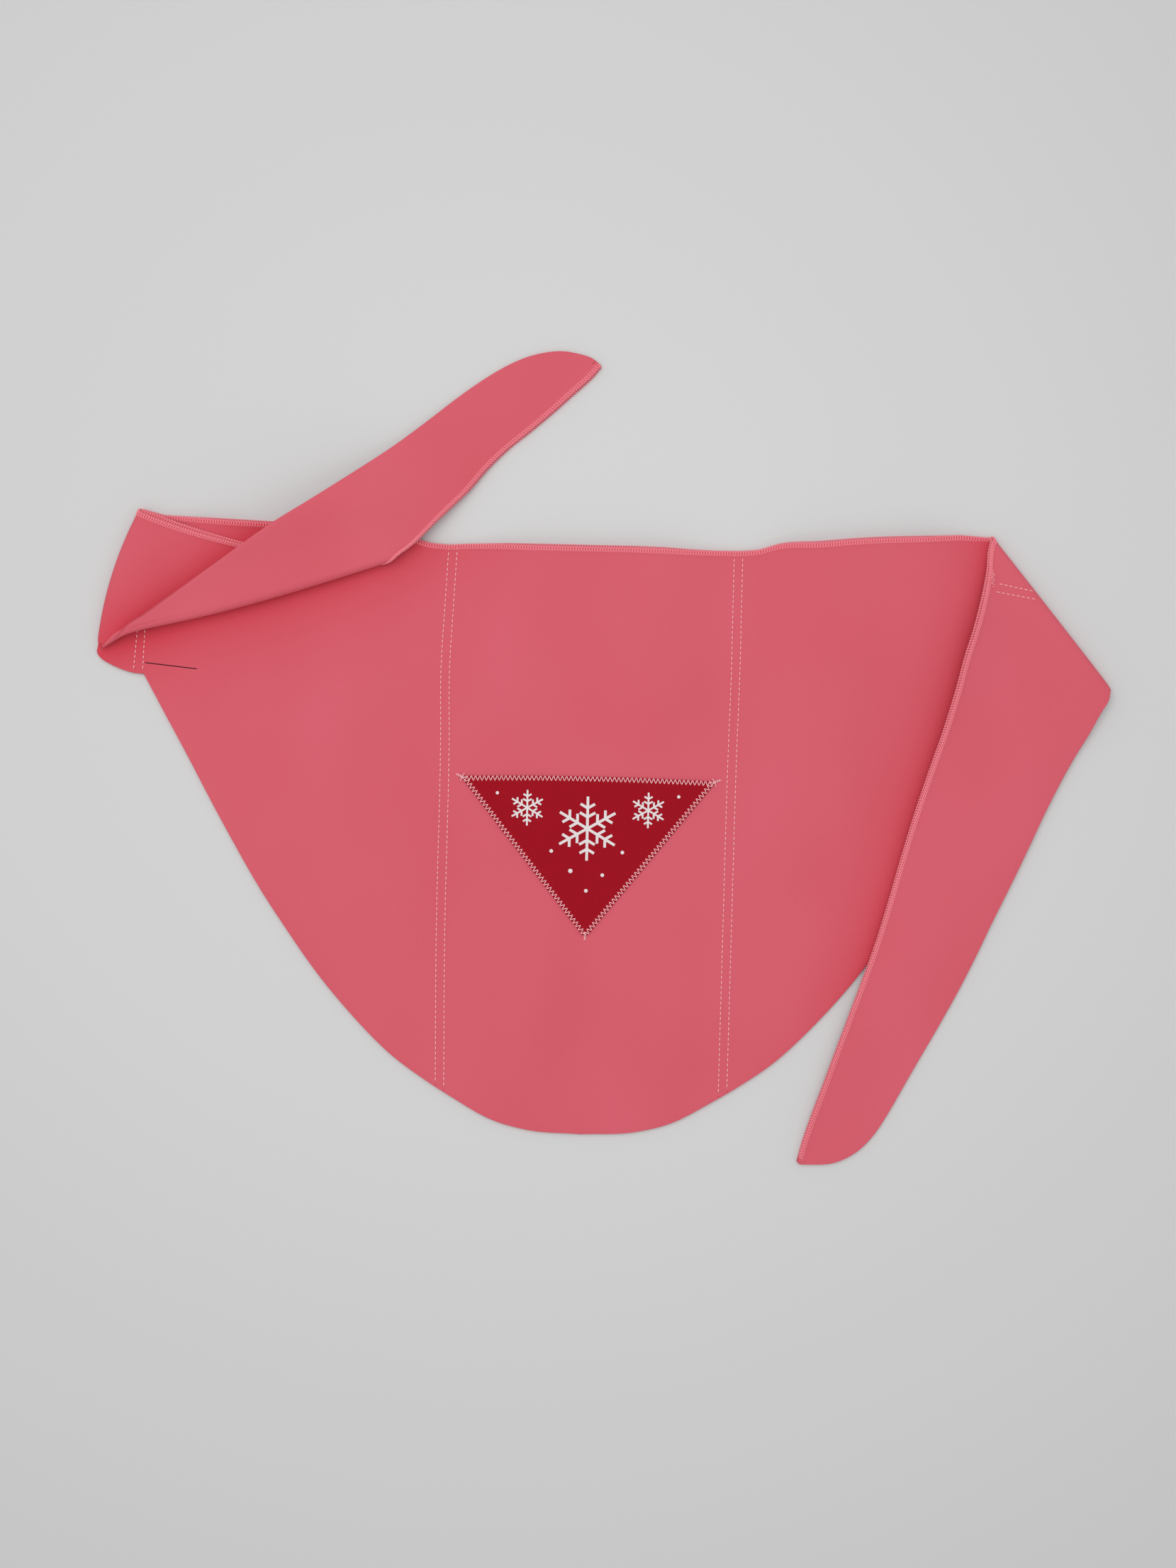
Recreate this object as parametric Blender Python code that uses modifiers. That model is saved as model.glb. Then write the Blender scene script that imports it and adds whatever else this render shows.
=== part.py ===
"""A cooling neck wrap of two cloth plies, lying on a table with both of its ties folded over.

The front and the back ply are sewn together along the lower edge and along four upright seams, which
leaves three pockets that are open at the top. The two upper ends of the plies run on as long ties. The
left tie is folded over twice and points up and to the right. The right tie is folded over once and points
down.

Everything is in metres, with Z up. The middle of the pockets' mouth lies at (0, 0) while the shapes are
worked out, and at the end an empty moves the whole wrap, so that the middle of its box stands over the
origin.
"""

import math

import bpy
import numpy as np

for old in list(bpy.data.objects):
    bpy.data.objects.remove(old, do_unlink=True)

# Cloth
PLY_THICKNESS = 0.0010
PLY_GAP = 0.0003
LAYER_GAP = 0.0008
JOIN_GAP = 0.0003

# Pouch
POUCH_WIDTH = 0.504
POUCH_DEPTH = 0.332
TIE_ROOT_DEPTH = 0.078
MOUTH_RISE = 0.012
MOUTH_SETBACK = 0.0015
MIDDLE_POCKET_WIDTH = 0.163
ROW_SPACING = 0.0048
POCKET_LOFT = 0.0048
POCKET_SLOPE_SHARE = 0.3
POCKET_FADE_SHARE = 0.18
POCKET_FLAT_SHARE = 0.68

# Folds
FOLD_RADIUS = 0.0022
SOFT_FOLD_RADIUS = 0.0031
FOLD_SETTLE = 0.025
FOLD_LEAD = 0.003
DRAPE_START = 0.012
DRAPE_RUN = 0.045
PRESSED_RUN = 0.035

# Left tie
LEFT_FOLD_BOW = 0.0040
LEFT_CORNER_REACH = 0.0047
LEFT_CORNER_RISE = 0.0034
LEFT_PINCH_REACH = 0.0267
LEFT_PINCH_RISE = 0.0229
LEFT_ROOT_BOW = 0.009
LEFT_EDGE_SAG = 0.0075
LEFT_TIE_REACH = 0.3205
LEFT_TIE_WIDTH = 0.060
LEFT_TIE_BEARING_DEGREES = 29.05

# Right tie
RIGHT_FOLD_INSET = 0.0272
RIGHT_FOLD_BOW = 0.0020
RIGHT_TIE_REACH = 0.3715
RIGHT_TIE_WIDTH = 0.088
RIGHT_TIE_BEARING_DEGREES = -105.9

# Patch
PATCH_WIDTH = 0.144
PATCH_HEIGHT = 0.088
PATCH_DROP = 0.1315
PATCH_TOP_BOW = 0.0012
PATCH_GAP = 0.0005
PATCH_TIP_WIDTH = 0.003

# Points down a section, as shares from the overlocked edge to the seamed one, and steps across the pouch
POUCH_SHARES = np.array((0, 0.03, 0.07, 0.12, 0.18, 0.26, 0.34, 0.43, 0.53, 0.64, 0.76, 0.88, 1.0))
TIE_SHARES = np.array((0, 0.07, 0.2, 0.36, 0.52, 0.68, 0.84, 0.94, 1.0))
BEND_STEPS = 6
SIDE_STEPS = 13
MIDDLE_STEPS = 14
PATCH_STEPS = (12, 8)

# Hem of the pouch, from its middle to the end of the mouth. Columns: distance across as a share of half
# the pouch's width, and drop as a share of the way from the tie root's depth to the pouch's depth.
HEM_SECTIONS = (
    (0.000, 1.000),
    (0.125, 0.992),
    (0.200, 0.972),
    (0.290, 0.924),
    (0.360, 0.881),
    (0.425, 0.835),
    (0.520, 0.744),
    (0.600, 0.652),
    (0.670, 0.557),
    (0.733, 0.465),
    (0.790, 0.371),
    (0.843, 0.279),
    (0.895, 0.185),
    (0.948, 0.092),
    (1.000, 0.000),
)

# Mouth over half of the middle pocket, and over a side pocket. Columns: distance across the pocket as a
# share of its width, counted away from the middle, and height as a share of the mouth's rise.
MIDDLE_MOUTH = ((0.00, 0.03), (0.60, 0.03), (0.85, -0.05), (1.00, -0.12))
SIDE_MOUTH = (
    (0.000, -0.12),
    (0.065, -0.03),
    (0.140, 0.30),
    (0.270, 0.46),
    (0.410, 0.66),
    (0.700, 0.86),
    (0.920, 0.96),
    (1.000, 1.00),
)

# Sections across the left tie past its second fold, which is the first row, from the pinch to the tip.
# Columns: the overlocked edge's distance along and off the tie's axis, then the seamed edge's, as shares
# of its reach and width.
LEFT_TIE_SECTIONS = (
    (0.549, -0.701, 0.027, -0.143),
    (0.565, -0.618, 0.067, -0.067),
    (0.577, -0.603, 0.137, -0.013),
    (0.593, -0.585, 0.237, 0.061),
    (0.616, -0.552, 0.357, 0.149),
    (0.652, -0.513, 0.442, 0.178),
    (0.695, -0.448, 0.528, 0.210),
    (0.740, -0.354, 0.610, 0.251),
    (0.789, -0.279, 0.686, 0.288),
    (0.839, -0.228, 0.756, 0.344),
    (0.888, -0.172, 0.822, 0.396),
    (0.931, -0.115, 0.876, 0.419),
    (0.966, -0.070, 0.919, 0.378),
    (0.985, -0.040, 0.957, 0.293),
    (0.999, -0.007, 0.991, 0.140),
)

# Sections across the right tie from its fold, which is the first row, to its tip. Columns as for the left
# tie.
RIGHT_TIE_SECTIONS = (
    (0.000, 0.000, 0.167, 0.992),
    (0.026, 0.007, 0.187, 1.000),
    (0.054, 0.036, 0.213, 0.998),
    (0.095, 0.057, 0.248, 0.966),
    (0.142, 0.067, 0.285, 0.924),
    (0.187, 0.065, 0.327, 0.886),
    (0.242, 0.073, 0.379, 0.848),
    (0.304, 0.072, 0.439, 0.813),
    (0.372, 0.060, 0.499, 0.775),
    (0.437, 0.053, 0.559, 0.733),
    (0.507, 0.053, 0.620, 0.695),
    (0.576, 0.058, 0.678, 0.652),
    (0.641, 0.058, 0.737, 0.599),
    (0.700, 0.047, 0.791, 0.546),
    (0.757, 0.033, 0.840, 0.499),
    (0.814, 0.019, 0.884, 0.457),
    (0.868, 0.007, 0.925, 0.406),
    (0.916, -0.006, 0.958, 0.328),
    (0.959, -0.014, 0.983, 0.209),
    (0.991, -0.013, 0.997, 0.044),
)

# Where the left tie's first layer is crossed by sections between its two folds, as shares of the turn
# between them.
LEFT_FAN = (0.05, 0.12, 0.21, 0.33, 0.47, 0.61, 0.75, 0.87)

# Worked out
HALF_WIDTH = POUCH_WIDTH / 2
ROW_X = MIDDLE_POCKET_WIDTH / 2
PLY_PITCH = PLY_THICKNESS + PLY_GAP
MID_RISE = PLY_THICKNESS + PLY_GAP / 2
PAIR_THICKNESS = 2 * PLY_THICKNESS + PLY_GAP
LAYER_PITCH = PAIR_THICKNESS + LAYER_GAP


def ease(share):
    """A rise from 0 to 1 with level ends: half of one minus the cosine."""
    return (1 - np.cos(np.pi * np.clip(share, 0, 1))) / 2


def column(table, index):
    return np.array([row[index] for row in table])


def unit(vector):
    return vector / np.linalg.norm(vector)


def normal_towards(span, side):
    """Unit vector square to a span, on the side to which another vector points."""
    normal = unit(np.array((-span[1], span[0])))
    return normal * np.sign(normal @ side)


def mouth_y(x):
    """Height of the mouth's edge over the middle of the mouth."""
    across = np.abs(x)
    middle = np.interp(across / ROW_X, column(MIDDLE_MOUTH, 0), column(MIDDLE_MOUTH, 1))
    side_share = (across - ROW_X) / (HALF_WIDTH - ROW_X)
    side = np.interp(side_share, column(SIDE_MOUTH, 0), column(SIDE_MOUTH, 1))
    return MOUTH_RISE * np.where(across < ROW_X, middle, side)


def hem_y(x):
    """Height of the sewn lower edge, which is below the mouth and so negative."""
    drop = np.interp(np.abs(x) / HALF_WIDTH, column(HEM_SECTIONS, 0), column(HEM_SECTIONS, 1))
    return -(TIE_ROOT_DEPTH + drop * (POUCH_DEPTH - TIE_ROOT_DEPTH))


def tie_points(anchor, bearing_degrees, reach, width, table):
    """Edge points of a tie's sections, along its axis by shares of the reach and off it of the width."""
    bearing = math.radians(bearing_degrees)
    along = np.array((math.cos(bearing), math.sin(bearing)))
    off = np.array((-along[1], along[0]))
    edges = []
    for first in (0, 2):
        forward = np.outer(column(table, first) * reach, along)
        aside = np.outer(column(table, first + 1) * width, off)
        edges.append(anchor + forward + aside)
    return edges


class Fold:
    """A straight fold seen from above, which the cloth rounds in a half circle.

    near and far are the ends of its outline, on the overlocked and on the seamed edge. outward is the
    side to which the bend bulges, and radii are the bend's radii at the two ends.
    """

    def __init__(self, near, far, outward, radii, bow):
        self.outward = normal_towards(far - near, outward)
        self.radii = np.maximum(radii, LAYER_PITCH / 2)
        inset = self.radii + MID_RISE
        self.near = near - self.outward * inset[0]
        self.far = far - self.outward * inset[1]
        self.bow = bow

    def line(self, shares, inside=0.0):
        """Points of the fold line, moved inside by a distance."""
        straight = self.near + np.outer(shares, self.far - self.near)
        bulge = self.bow * 4 * shares * (1 - shares) - inside
        return straight + np.outer(bulge, self.outward)

    def radius(self, points):
        """The bend's radius, from one end to the other."""
        span = self.far - self.near
        share = np.clip((points - self.near) @ span / (span @ span), 0, 1)
        return self.radii[0] + share * (self.radii[1] - self.radii[0])

    def inside(self, points):
        """Distance from the fold line, on the side where the cloth lies."""
        return (self.near - points) @ self.outward

    def lift(self, points):
        """How much higher than flat layers the cloth stands, next to the fold and fading away from it."""
        extra = 2 * self.radius(points) - LAYER_PITCH
        return extra * (1 - ease(self.inside(points) / FOLD_SETTLE))

    def bend(self, shares, low, high):
        """Rows of points round the bend, from the lower layer to the upper one."""
        line = self.line(shares)
        middle = (low + high) / 2
        radius = (high - low) / 2
        rows = []
        for angle in np.linspace(0, math.pi, BEND_STEPS + 1):
            plan = line + np.outer(radius * math.sin(angle), self.outward)
            rows.append(np.column_stack((plan, middle - radius * math.cos(angle))))
        return rows


left_corner = np.array((-HALF_WIDTH - LEFT_CORNER_REACH, MOUTH_RISE + LEFT_CORNER_RISE))
left_pinch = np.array((-HALF_WIDTH - LEFT_PINCH_REACH, LEFT_PINCH_RISE - TIE_ROOT_DEPTH))
left_overlock, left_seam = tie_points(
    left_pinch, LEFT_TIE_BEARING_DEGREES, LEFT_TIE_REACH, LEFT_TIE_WIDTH, LEFT_TIE_SECTIONS
)
right_x = HALF_WIDTH - RIGHT_FOLD_INSET
right_corner = np.array((right_x, mouth_y(right_x)))
right_overlock, right_seam = tie_points(
    right_corner, RIGHT_TIE_BEARING_DEGREES, RIGHT_TIE_REACH, RIGHT_TIE_WIDTH, RIGHT_TIE_SECTIONS
)

left_first = Fold(
    left_corner, left_pinch, np.array((-1, 0)), np.array((FOLD_RADIUS, FOLD_RADIUS)), LEFT_FOLD_BOW
)
left_second = Fold(
    left_overlock[0], left_seam[0], np.array((0, -1)), np.array((SOFT_FOLD_RADIUS, FOLD_RADIUS)), 0
)
right_fold = Fold(
    right_overlock[0],
    right_seam[0],
    np.array((1, 0)),
    np.array((SOFT_FOLD_RADIUS, FOLD_RADIUS)),
    RIGHT_FOLD_BOW,
)


def pocket_loft(x, y):
    """How far the front ply stands off over each pocket: full at the mouth's middle, nothing at the seams.

    Across a pocket it eases up from either seam over a share of the width. Down a pocket it fades away
    between two shares of the depth. Next to the right fold the pocket is pressed flat.
    """
    seam = ROW_SPACING / 2
    depth = (mouth_y(x) - y) / (mouth_y(x) - hem_y(x))
    fade = (depth - POCKET_FADE_SHARE) / (POCKET_FLAT_SHARE - POCKET_FADE_SHARE)
    across = np.zeros_like(x)
    for low, high in ((-HALF_WIDTH, -ROW_X), (-ROW_X, ROW_X), (ROW_X, HALF_WIDTH)):
        share = (x - low - seam) / (high - low - 2 * seam)
        rise = ease(share / POCKET_SLOPE_SHARE) * ease((1 - share) / POCKET_SLOPE_SHARE)
        across = np.maximum(across, rise)
    points = np.column_stack((np.ravel(x), np.ravel(y)))
    pressed = ease(right_fold.inside(points) / PRESSED_RUN).reshape(np.shape(x))
    return POCKET_LOFT * across * (1 - ease(fade)) * pressed


def pouch_rulings():
    """Sections down the pouch from one fold to the other, as mouth ends, seam ends and the bow of each.

    Over the pockets the sections are upright. At both ends they turn until they are parallel to the fold,
    which starts the tie.
    """
    seam = ROW_SPACING / 2
    end_x = HALF_WIDTH - 2 * ROW_SPACING
    right_end_x = right_x - PRESSED_RUN / 2
    side = np.linspace(ROW_X + seam, end_x, SIDE_STEPS)
    middle = np.linspace(seam - ROW_X, ROW_X - seam, MIDDLE_STEPS)
    upright = np.concatenate((-side[::-1], middle, side[side < right_end_x - seam], (right_end_x,)))
    mouth = np.column_stack((upright, mouth_y(upright)))
    hem = np.column_stack((upright, hem_y(upright)))

    ends = []
    for fold, start_x, kink_x, root_bow, steps in (
        (left_first, -end_x, -HALF_WIDTH, LEFT_ROOT_BOW, (1, 4)),
        (right_fold, right_end_x, HALF_WIDTH, 0, (5, 4)),
    ):
        inset = FOLD_LEAD + JOIN_GAP
        top, bottom = fold.line(np.array((0.0, 1.0)), inset)
        kink = np.array((kink_x, -TIE_ROOT_DEPTH))
        hem_x = np.linspace(start_x, kink_x, steps[0] + 1)[1:]
        along_hem = np.column_stack((hem_x, hem_y(hem_x)))
        root_share = np.linspace(0, 1, steps[1] + 1)[1:]
        root = bottom - kink
        bulge = np.outer(root_bow * 4 * root_share * (1 - root_share), normal_towards(root, (0, -1)))
        along_root = kink + np.outer(root_share, root) + bulge
        low = np.concatenate((along_hem, along_root))
        share = np.linspace(0, 1, len(low) + 1)[1:, None]
        start = np.array((start_x, mouth_y(start_x)))
        high = start + share * (top - start)
        bow = np.outer(share[:, 0] ** 3 * fold.bow, fold.outward)
        ends.append((high, low, bow))
    (l_high, l_low, l_bow), (r_high, r_low, r_bow) = ends
    mouth = np.concatenate((l_high[::-1], mouth, r_high))
    hem = np.concatenate((l_low[::-1], hem, r_low))
    bow = np.concatenate((l_bow[::-1], np.zeros((len(upright), 2)), r_bow))
    return mouth, hem, bow


def pouch_plan(setback):
    """Plan grid of the pouch. setback lowers the mouth's edge over each pocket, but not at the seams."""
    mouth, hem, bow = pouch_rulings()
    loose = pocket_loft(mouth[:, 0], mouth[:, 1]) / POCKET_LOFT
    mouth = mouth - np.column_stack((np.zeros(len(mouth)), setback * loose))
    shares = POUCH_SHARES[None, :, None]
    straight = mouth[:, None] * (1 - shares) + hem[:, None] * shares
    return straight + bow[:, None] * (4 * shares * (1 - shares))


def outside_distance(points, outline):
    """Distance from each point to a closed outline, or 0 inside it."""
    starts = outline
    spans = np.roll(outline, -1, axis=0) - outline
    to_point = points[:, None] - starts[None]
    share = np.clip((to_point * spans).sum(2) / (spans * spans).sum(1), 0, 1)
    nearest = np.linalg.norm(to_point - share[..., None] * spans, axis=2).min(axis=1)
    ends = starts + spans
    crosses = (starts[:, 1] > points[:, 1, None]) != (ends[:, 1] > points[:, 1, None])
    rise = np.where(np.abs(spans[:, 1]) < 1e-12, 1e-12, spans[:, 1])
    reach = starts[:, 0] + (points[:, 1, None] - starts[:, 1]) * spans[:, 0] / rise
    within = (crosses & (points[:, 0, None] < reach)).sum(axis=1) % 2 == 1
    return np.where(within, 0.0, nearest)


def drape(points, outline):
    """1 over an outline and just outside it, falling to 0 further out."""
    return 1 - ease((outside_distance(points, outline) - DRAPE_START) / DRAPE_RUN)


def pouch_outline():
    mouth, hem, _ = pouch_rulings()
    return np.concatenate((mouth, hem[::-1]))


OUTLINE = pouch_outline()


def support(points):
    """Top of what a tie's first layer lies on: the pouch with its clearance, or the table past it."""
    top = LAYER_PITCH + pocket_loft(points[:, 0], points[:, 1])
    return top * drape(points, OUTLINE)


def first_layer(points, fold):
    """Height of the middle between the two plies, one fold away from the pouch."""
    return support(points) + MID_RISE + fold.lift(points) * drape(points, OUTLINE)


def second_layer(points):
    """Height of the middle between the plies of the left tie after its second fold."""
    under = np.concatenate((left_first.line(np.array((0.0, 1.0))), left_second.line(np.array((1.0, 0.0)))))
    step = (LAYER_PITCH + left_first.lift(points)) * drape(points, under)
    return support(points) + MID_RISE + step + left_second.lift(points)


def lead_row(fold):
    """The flat row of points where a tie leaves the pouch, just before the bend."""
    plan = fold.line(TIE_SHARES, FOLD_LEAD)
    return np.column_stack((plan, np.full(len(plan), MID_RISE)))


def section_rows(overlock, seam, height):
    """Rows of points along straight sections, at the height that a function gives."""
    rows = []
    for near, far in zip(overlock, seam):
        plan = near + np.outer(TIE_SHARES, far - near)
        rows.append(np.column_stack((plan, height(plan))))
    return rows


def first_bend(fold):
    line = fold.line(TIE_SHARES)
    return fold.bend(TIE_SHARES, np.full(len(line), MID_RISE), first_layer(line, fold))


def left_tie_middle():
    """Grid of the surface midway between the left tie's plies, from the pouch to the tip."""
    rows = [lead_row(left_first)] + first_bend(left_first)
    start = left_first.line(TIE_SHARES)
    end = left_second.line(TIE_SHARES)
    sag = np.outer(1 - TIE_SHARES, (0, -LEFT_EDGE_SAG))
    for share in LEFT_FAN:
        plan = start + share * (end - start) + sag * (4 * share * (1 - share))
        rows.append(np.column_stack((plan, first_layer(plan, left_first))))
    rows += left_second.bend(TIE_SHARES, first_layer(end, left_first), second_layer(end))
    return np.array(rows + section_rows(left_overlock[1:], left_seam[1:], second_layer))


def right_tie_middle():
    """Grid of the surface midway between the right tie's plies, from the pouch to the tip."""
    rows = [lead_row(right_fold)] + first_bend(right_fold)
    return np.array(
        rows + section_rows(right_overlock[1:], right_seam[1:], lambda plan: first_layer(plan, right_fold))
    )


def offset(grid, distance):
    """The grid moved along its own normals, which are the crossed slopes along and across it."""
    normals = np.cross(np.gradient(grid, axis=0), np.gradient(grid, axis=1))
    normals /= np.linalg.norm(normals, axis=2, keepdims=True)
    return grid + distance * normals


def material(name, colour, roughness):
    made = bpy.data.materials.new(name)
    made.use_nodes = True
    shader = made.node_tree.nodes["Principled BSDF"]
    shader.inputs["Base Color"].default_value = (*colour, 1)
    shader.inputs["Roughness"].default_value = roughness
    shader.inputs["Metallic"].default_value = 0
    return made


def ply(name, grid, finish):
    """A cloth ply: the grid as an open surface, thickened evenly to both sides."""
    rows, columns = grid.shape[:2]
    corner = np.arange(rows * columns).reshape(rows, columns)
    quads = np.stack((corner[:-1, :-1], corner[1:, :-1], corner[1:, 1:], corner[:-1, 1:]), axis=2)
    mesh = bpy.data.meshes.new(name)
    mesh.from_pydata(grid.reshape(-1, 3).tolist(), [], quads.reshape(-1, 4).tolist())
    mesh.shade_smooth()
    mesh.materials.append(finish)
    made = bpy.data.objects.new(name, mesh)
    wall = made.modifiers.new("cloth", "SOLIDIFY")
    wall.thickness = PLY_THICKNESS
    wall.offset = 0
    wrap_collection.objects.link(made)
    made.parent = wrap_origin
    return made


def pouch_ply(name, setback, finish, base, lofted):
    plan = pouch_plan(setback)
    height = np.full(plan.shape[:2], base)
    if lofted:
        height = height + pocket_loft(plan[..., 0], plan[..., 1])
    return ply(name, np.dstack((plan, height)), finish)


def patch_grid():
    """The patch: level sections that shrink evenly from the bowed top edge to the narrow corner."""
    across = np.linspace(-1, 1, PATCH_STEPS[0] + 1)
    down = np.linspace(0, 1, PATCH_STEPS[1] + 1)[:, None]
    half = PATCH_WIDTH / 2 * (1 - down) + PATCH_TIP_WIDTH / 2 * down
    x = half * across
    bow = PATCH_TOP_BOW * (1 - down) * (1 - across**2)
    y = bow - PATCH_DROP - PATCH_HEIGHT * down
    rise = PAIR_THICKNESS + PATCH_GAP + PLY_THICKNESS / 2
    z = rise + pocket_loft(x, y)
    return np.dstack((x, y, z))


wrap_collection = bpy.data.collections.new("cooling_wrap")
bpy.context.scene.collection.children.link(wrap_collection)
wrap_origin = bpy.data.objects.new("wrap_origin", None)
wrap_collection.objects.link(wrap_origin)

coral_cloth = material("coral_cloth", (0.66, 0.105, 0.14), 0.75)
crimson_cloth = material("crimson_cloth", (0.34, 0.006, 0.016), 0.7)

pouch_ply("back_panel", 0, coral_cloth, PLY_THICKNESS / 2, False)
pouch_ply("front_panel", MOUTH_SETBACK, coral_cloth, PLY_THICKNESS / 2 + PLY_PITCH, True)
left_middle = left_tie_middle()
ply("left_tie_front", offset(left_middle, PLY_PITCH / 2), coral_cloth)
ply("left_tie_back", offset(left_middle, -PLY_PITCH / 2), coral_cloth)
right_middle = right_tie_middle()
ply("right_tie_front", offset(right_middle, -PLY_PITCH / 2), coral_cloth)
ply("right_tie_back", offset(right_middle, PLY_PITCH / 2), coral_cloth)
ply("patch", patch_grid(), crimson_cloth)


def centre_of_box():
    """Middle of the box round every finished ply, seen from above."""
    bpy.context.view_layer.update()
    graph = bpy.context.evaluated_depsgraph_get()
    corners = []
    for piece in wrap_collection.objects:
        if piece.type == "MESH":
            corners += [tuple(corner)[:2] for corner in piece.evaluated_get(graph).bound_box]
    return (np.min(corners, axis=0) + np.max(corners, axis=0)) / 2


middle_x, middle_y = centre_of_box()
wrap_origin.location = (-middle_x, -middle_y, 0)
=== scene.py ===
# %% [markdown]
# # A cooling wrap, from the cutting table to the photograph
#
# The real object is a neck wrap of two thin plies of cloth. They are sewn together along the lower edge
# and along four upright seams, so that three pockets stay open at the top for ice. The upper ends run on
# as long ties, and for the picture both ties are folded over on a table.
#
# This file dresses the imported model, which is a rigid stand-in for the cloth. It could be dressed by
# giving its solids finer materials, but their faces are too coarse for soft cloth. So each ply is worked
# out anew here as one continuous surface, from one tie's tip over the pouch to the other tie's tip, and
# the threads are laid on those surfaces.

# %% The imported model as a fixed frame
import math

import bpy
import numpy as np
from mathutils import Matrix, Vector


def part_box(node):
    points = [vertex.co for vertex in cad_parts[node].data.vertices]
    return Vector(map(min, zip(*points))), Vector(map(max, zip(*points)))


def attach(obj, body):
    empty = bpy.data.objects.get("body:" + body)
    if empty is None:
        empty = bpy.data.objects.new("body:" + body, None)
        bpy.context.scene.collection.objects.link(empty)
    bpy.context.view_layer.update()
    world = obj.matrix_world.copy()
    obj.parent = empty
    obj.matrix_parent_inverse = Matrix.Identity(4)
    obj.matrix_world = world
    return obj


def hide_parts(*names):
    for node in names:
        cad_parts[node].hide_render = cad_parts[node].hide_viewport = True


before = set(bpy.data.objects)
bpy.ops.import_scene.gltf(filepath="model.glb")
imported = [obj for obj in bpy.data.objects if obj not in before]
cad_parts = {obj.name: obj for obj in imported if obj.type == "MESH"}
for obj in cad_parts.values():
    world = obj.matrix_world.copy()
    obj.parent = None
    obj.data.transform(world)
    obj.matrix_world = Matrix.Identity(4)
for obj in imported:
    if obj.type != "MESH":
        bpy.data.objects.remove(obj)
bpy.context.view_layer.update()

MM = 0.001

# %% [markdown]
# ## The camera
#
# The photograph looks straight down on a table, with the phone turned by a little more than one degree.
# The picture shows 0.4 mm of table in each of its pixels, which gives the size of the view. A long lens
# far away and a short lens nearby could show the same patch of table. The height chosen here is that of a
# phone held over a table.

# %% Camera
PICTURE_HEIGHT = 2212
TABLE_PER_PIXEL = 0.4 * MM
CAMERA_HEIGHT = 1.15
CAMERA_ROLL = math.radians(1.3)
VIEW_MIDDLE = (-6.7 * MM, -15.9 * MM)

camera_data = bpy.data.cameras.new("overhead_camera")
camera_data.sensor_fit = "VERTICAL"
camera_data.sensor_height = 24.0
camera_data.lens = camera_data.sensor_height * CAMERA_HEIGHT / (PICTURE_HEIGHT * TABLE_PER_PIXEL)
camera = bpy.data.objects.new("overhead_camera", camera_data)
camera.location = (*VIEW_MIDDLE, CAMERA_HEIGHT)
camera.rotation_euler = (0, 0, CAMERA_ROLL)
bpy.context.scene.collection.objects.link(camera)
bpy.context.scene.camera = camera
print("Lens in mm:", round(camera_data.lens, 1))

# %% [markdown]
# ## Table and light
#
# The table is a plain pale sheet, and the light comes from a wide soft source overhead, so that shadows
# show only right beside the cloth. A sky texture or several lamps could do this too. One wide lamp with
# an even surrounding glow is enough, and it keeps the shadows as soft as in the photograph.

# %% Table
TABLE_SIZE = 6.0


def link(thing):
    bpy.context.scene.collection.objects.link(thing)
    return thing


table_mesh = bpy.data.meshes.new("table")
half = TABLE_SIZE / 2
table_corners = [(-half, -half, 0), (half, -half, 0), (half, half, 0), (-half, half, 0)]
table_mesh.from_pydata(table_corners, [], [(0, 1, 2, 3)])
table = link(bpy.data.objects.new("table", table_mesh))

# %% Light
LAMP_SIZE = 1.8
LAMP_PLACE = (-0.30, 0.45, 1.7)
LAMP_POWER = 12.5
GLOW = 0.68

lamp_data = bpy.data.lights.new("soft_box", "AREA")
lamp_data.shape = "SQUARE"
lamp_data.size = LAMP_SIZE
lamp_data.energy = LAMP_POWER
lamp = link(bpy.data.objects.new("soft_box", lamp_data))
lamp.location = LAMP_PLACE
towards = -np.array(LAMP_PLACE)
lamp.rotation_euler = (
    math.atan2(math.hypot(towards[0], towards[1]), -towards[2]),
    0,
    math.atan2(towards[1], towards[0]) - math.pi / 2,
)

world = bpy.data.worlds.new("room_glow")
bpy.context.scene.world = world
world.use_nodes = True
world.node_tree.nodes["Background"].inputs["Color"].default_value = (1.0, 1.0, 1.0, 1)
world.node_tree.nodes["Background"].inputs["Strength"].default_value = GLOW
bpy.context.scene.view_settings.view_transform = "Standard"
print("Lamp", LAMP_SIZE, "m wide,", LAMP_POWER, "W, glow", GLOW)

# %% [markdown]
# ## Writing shader maths as Python
#
# A material's pattern is arithmetic on positions. It could be wired by hand in the node editor, which is
# hard to read later. Here a small class wraps an output socket, and its operators add the Math nodes, so
# a pattern reads like a formula. Colours and vectors take their own nodes, because a Math node turns a
# colour grey.

# %% Sockets with arithmetic


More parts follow.
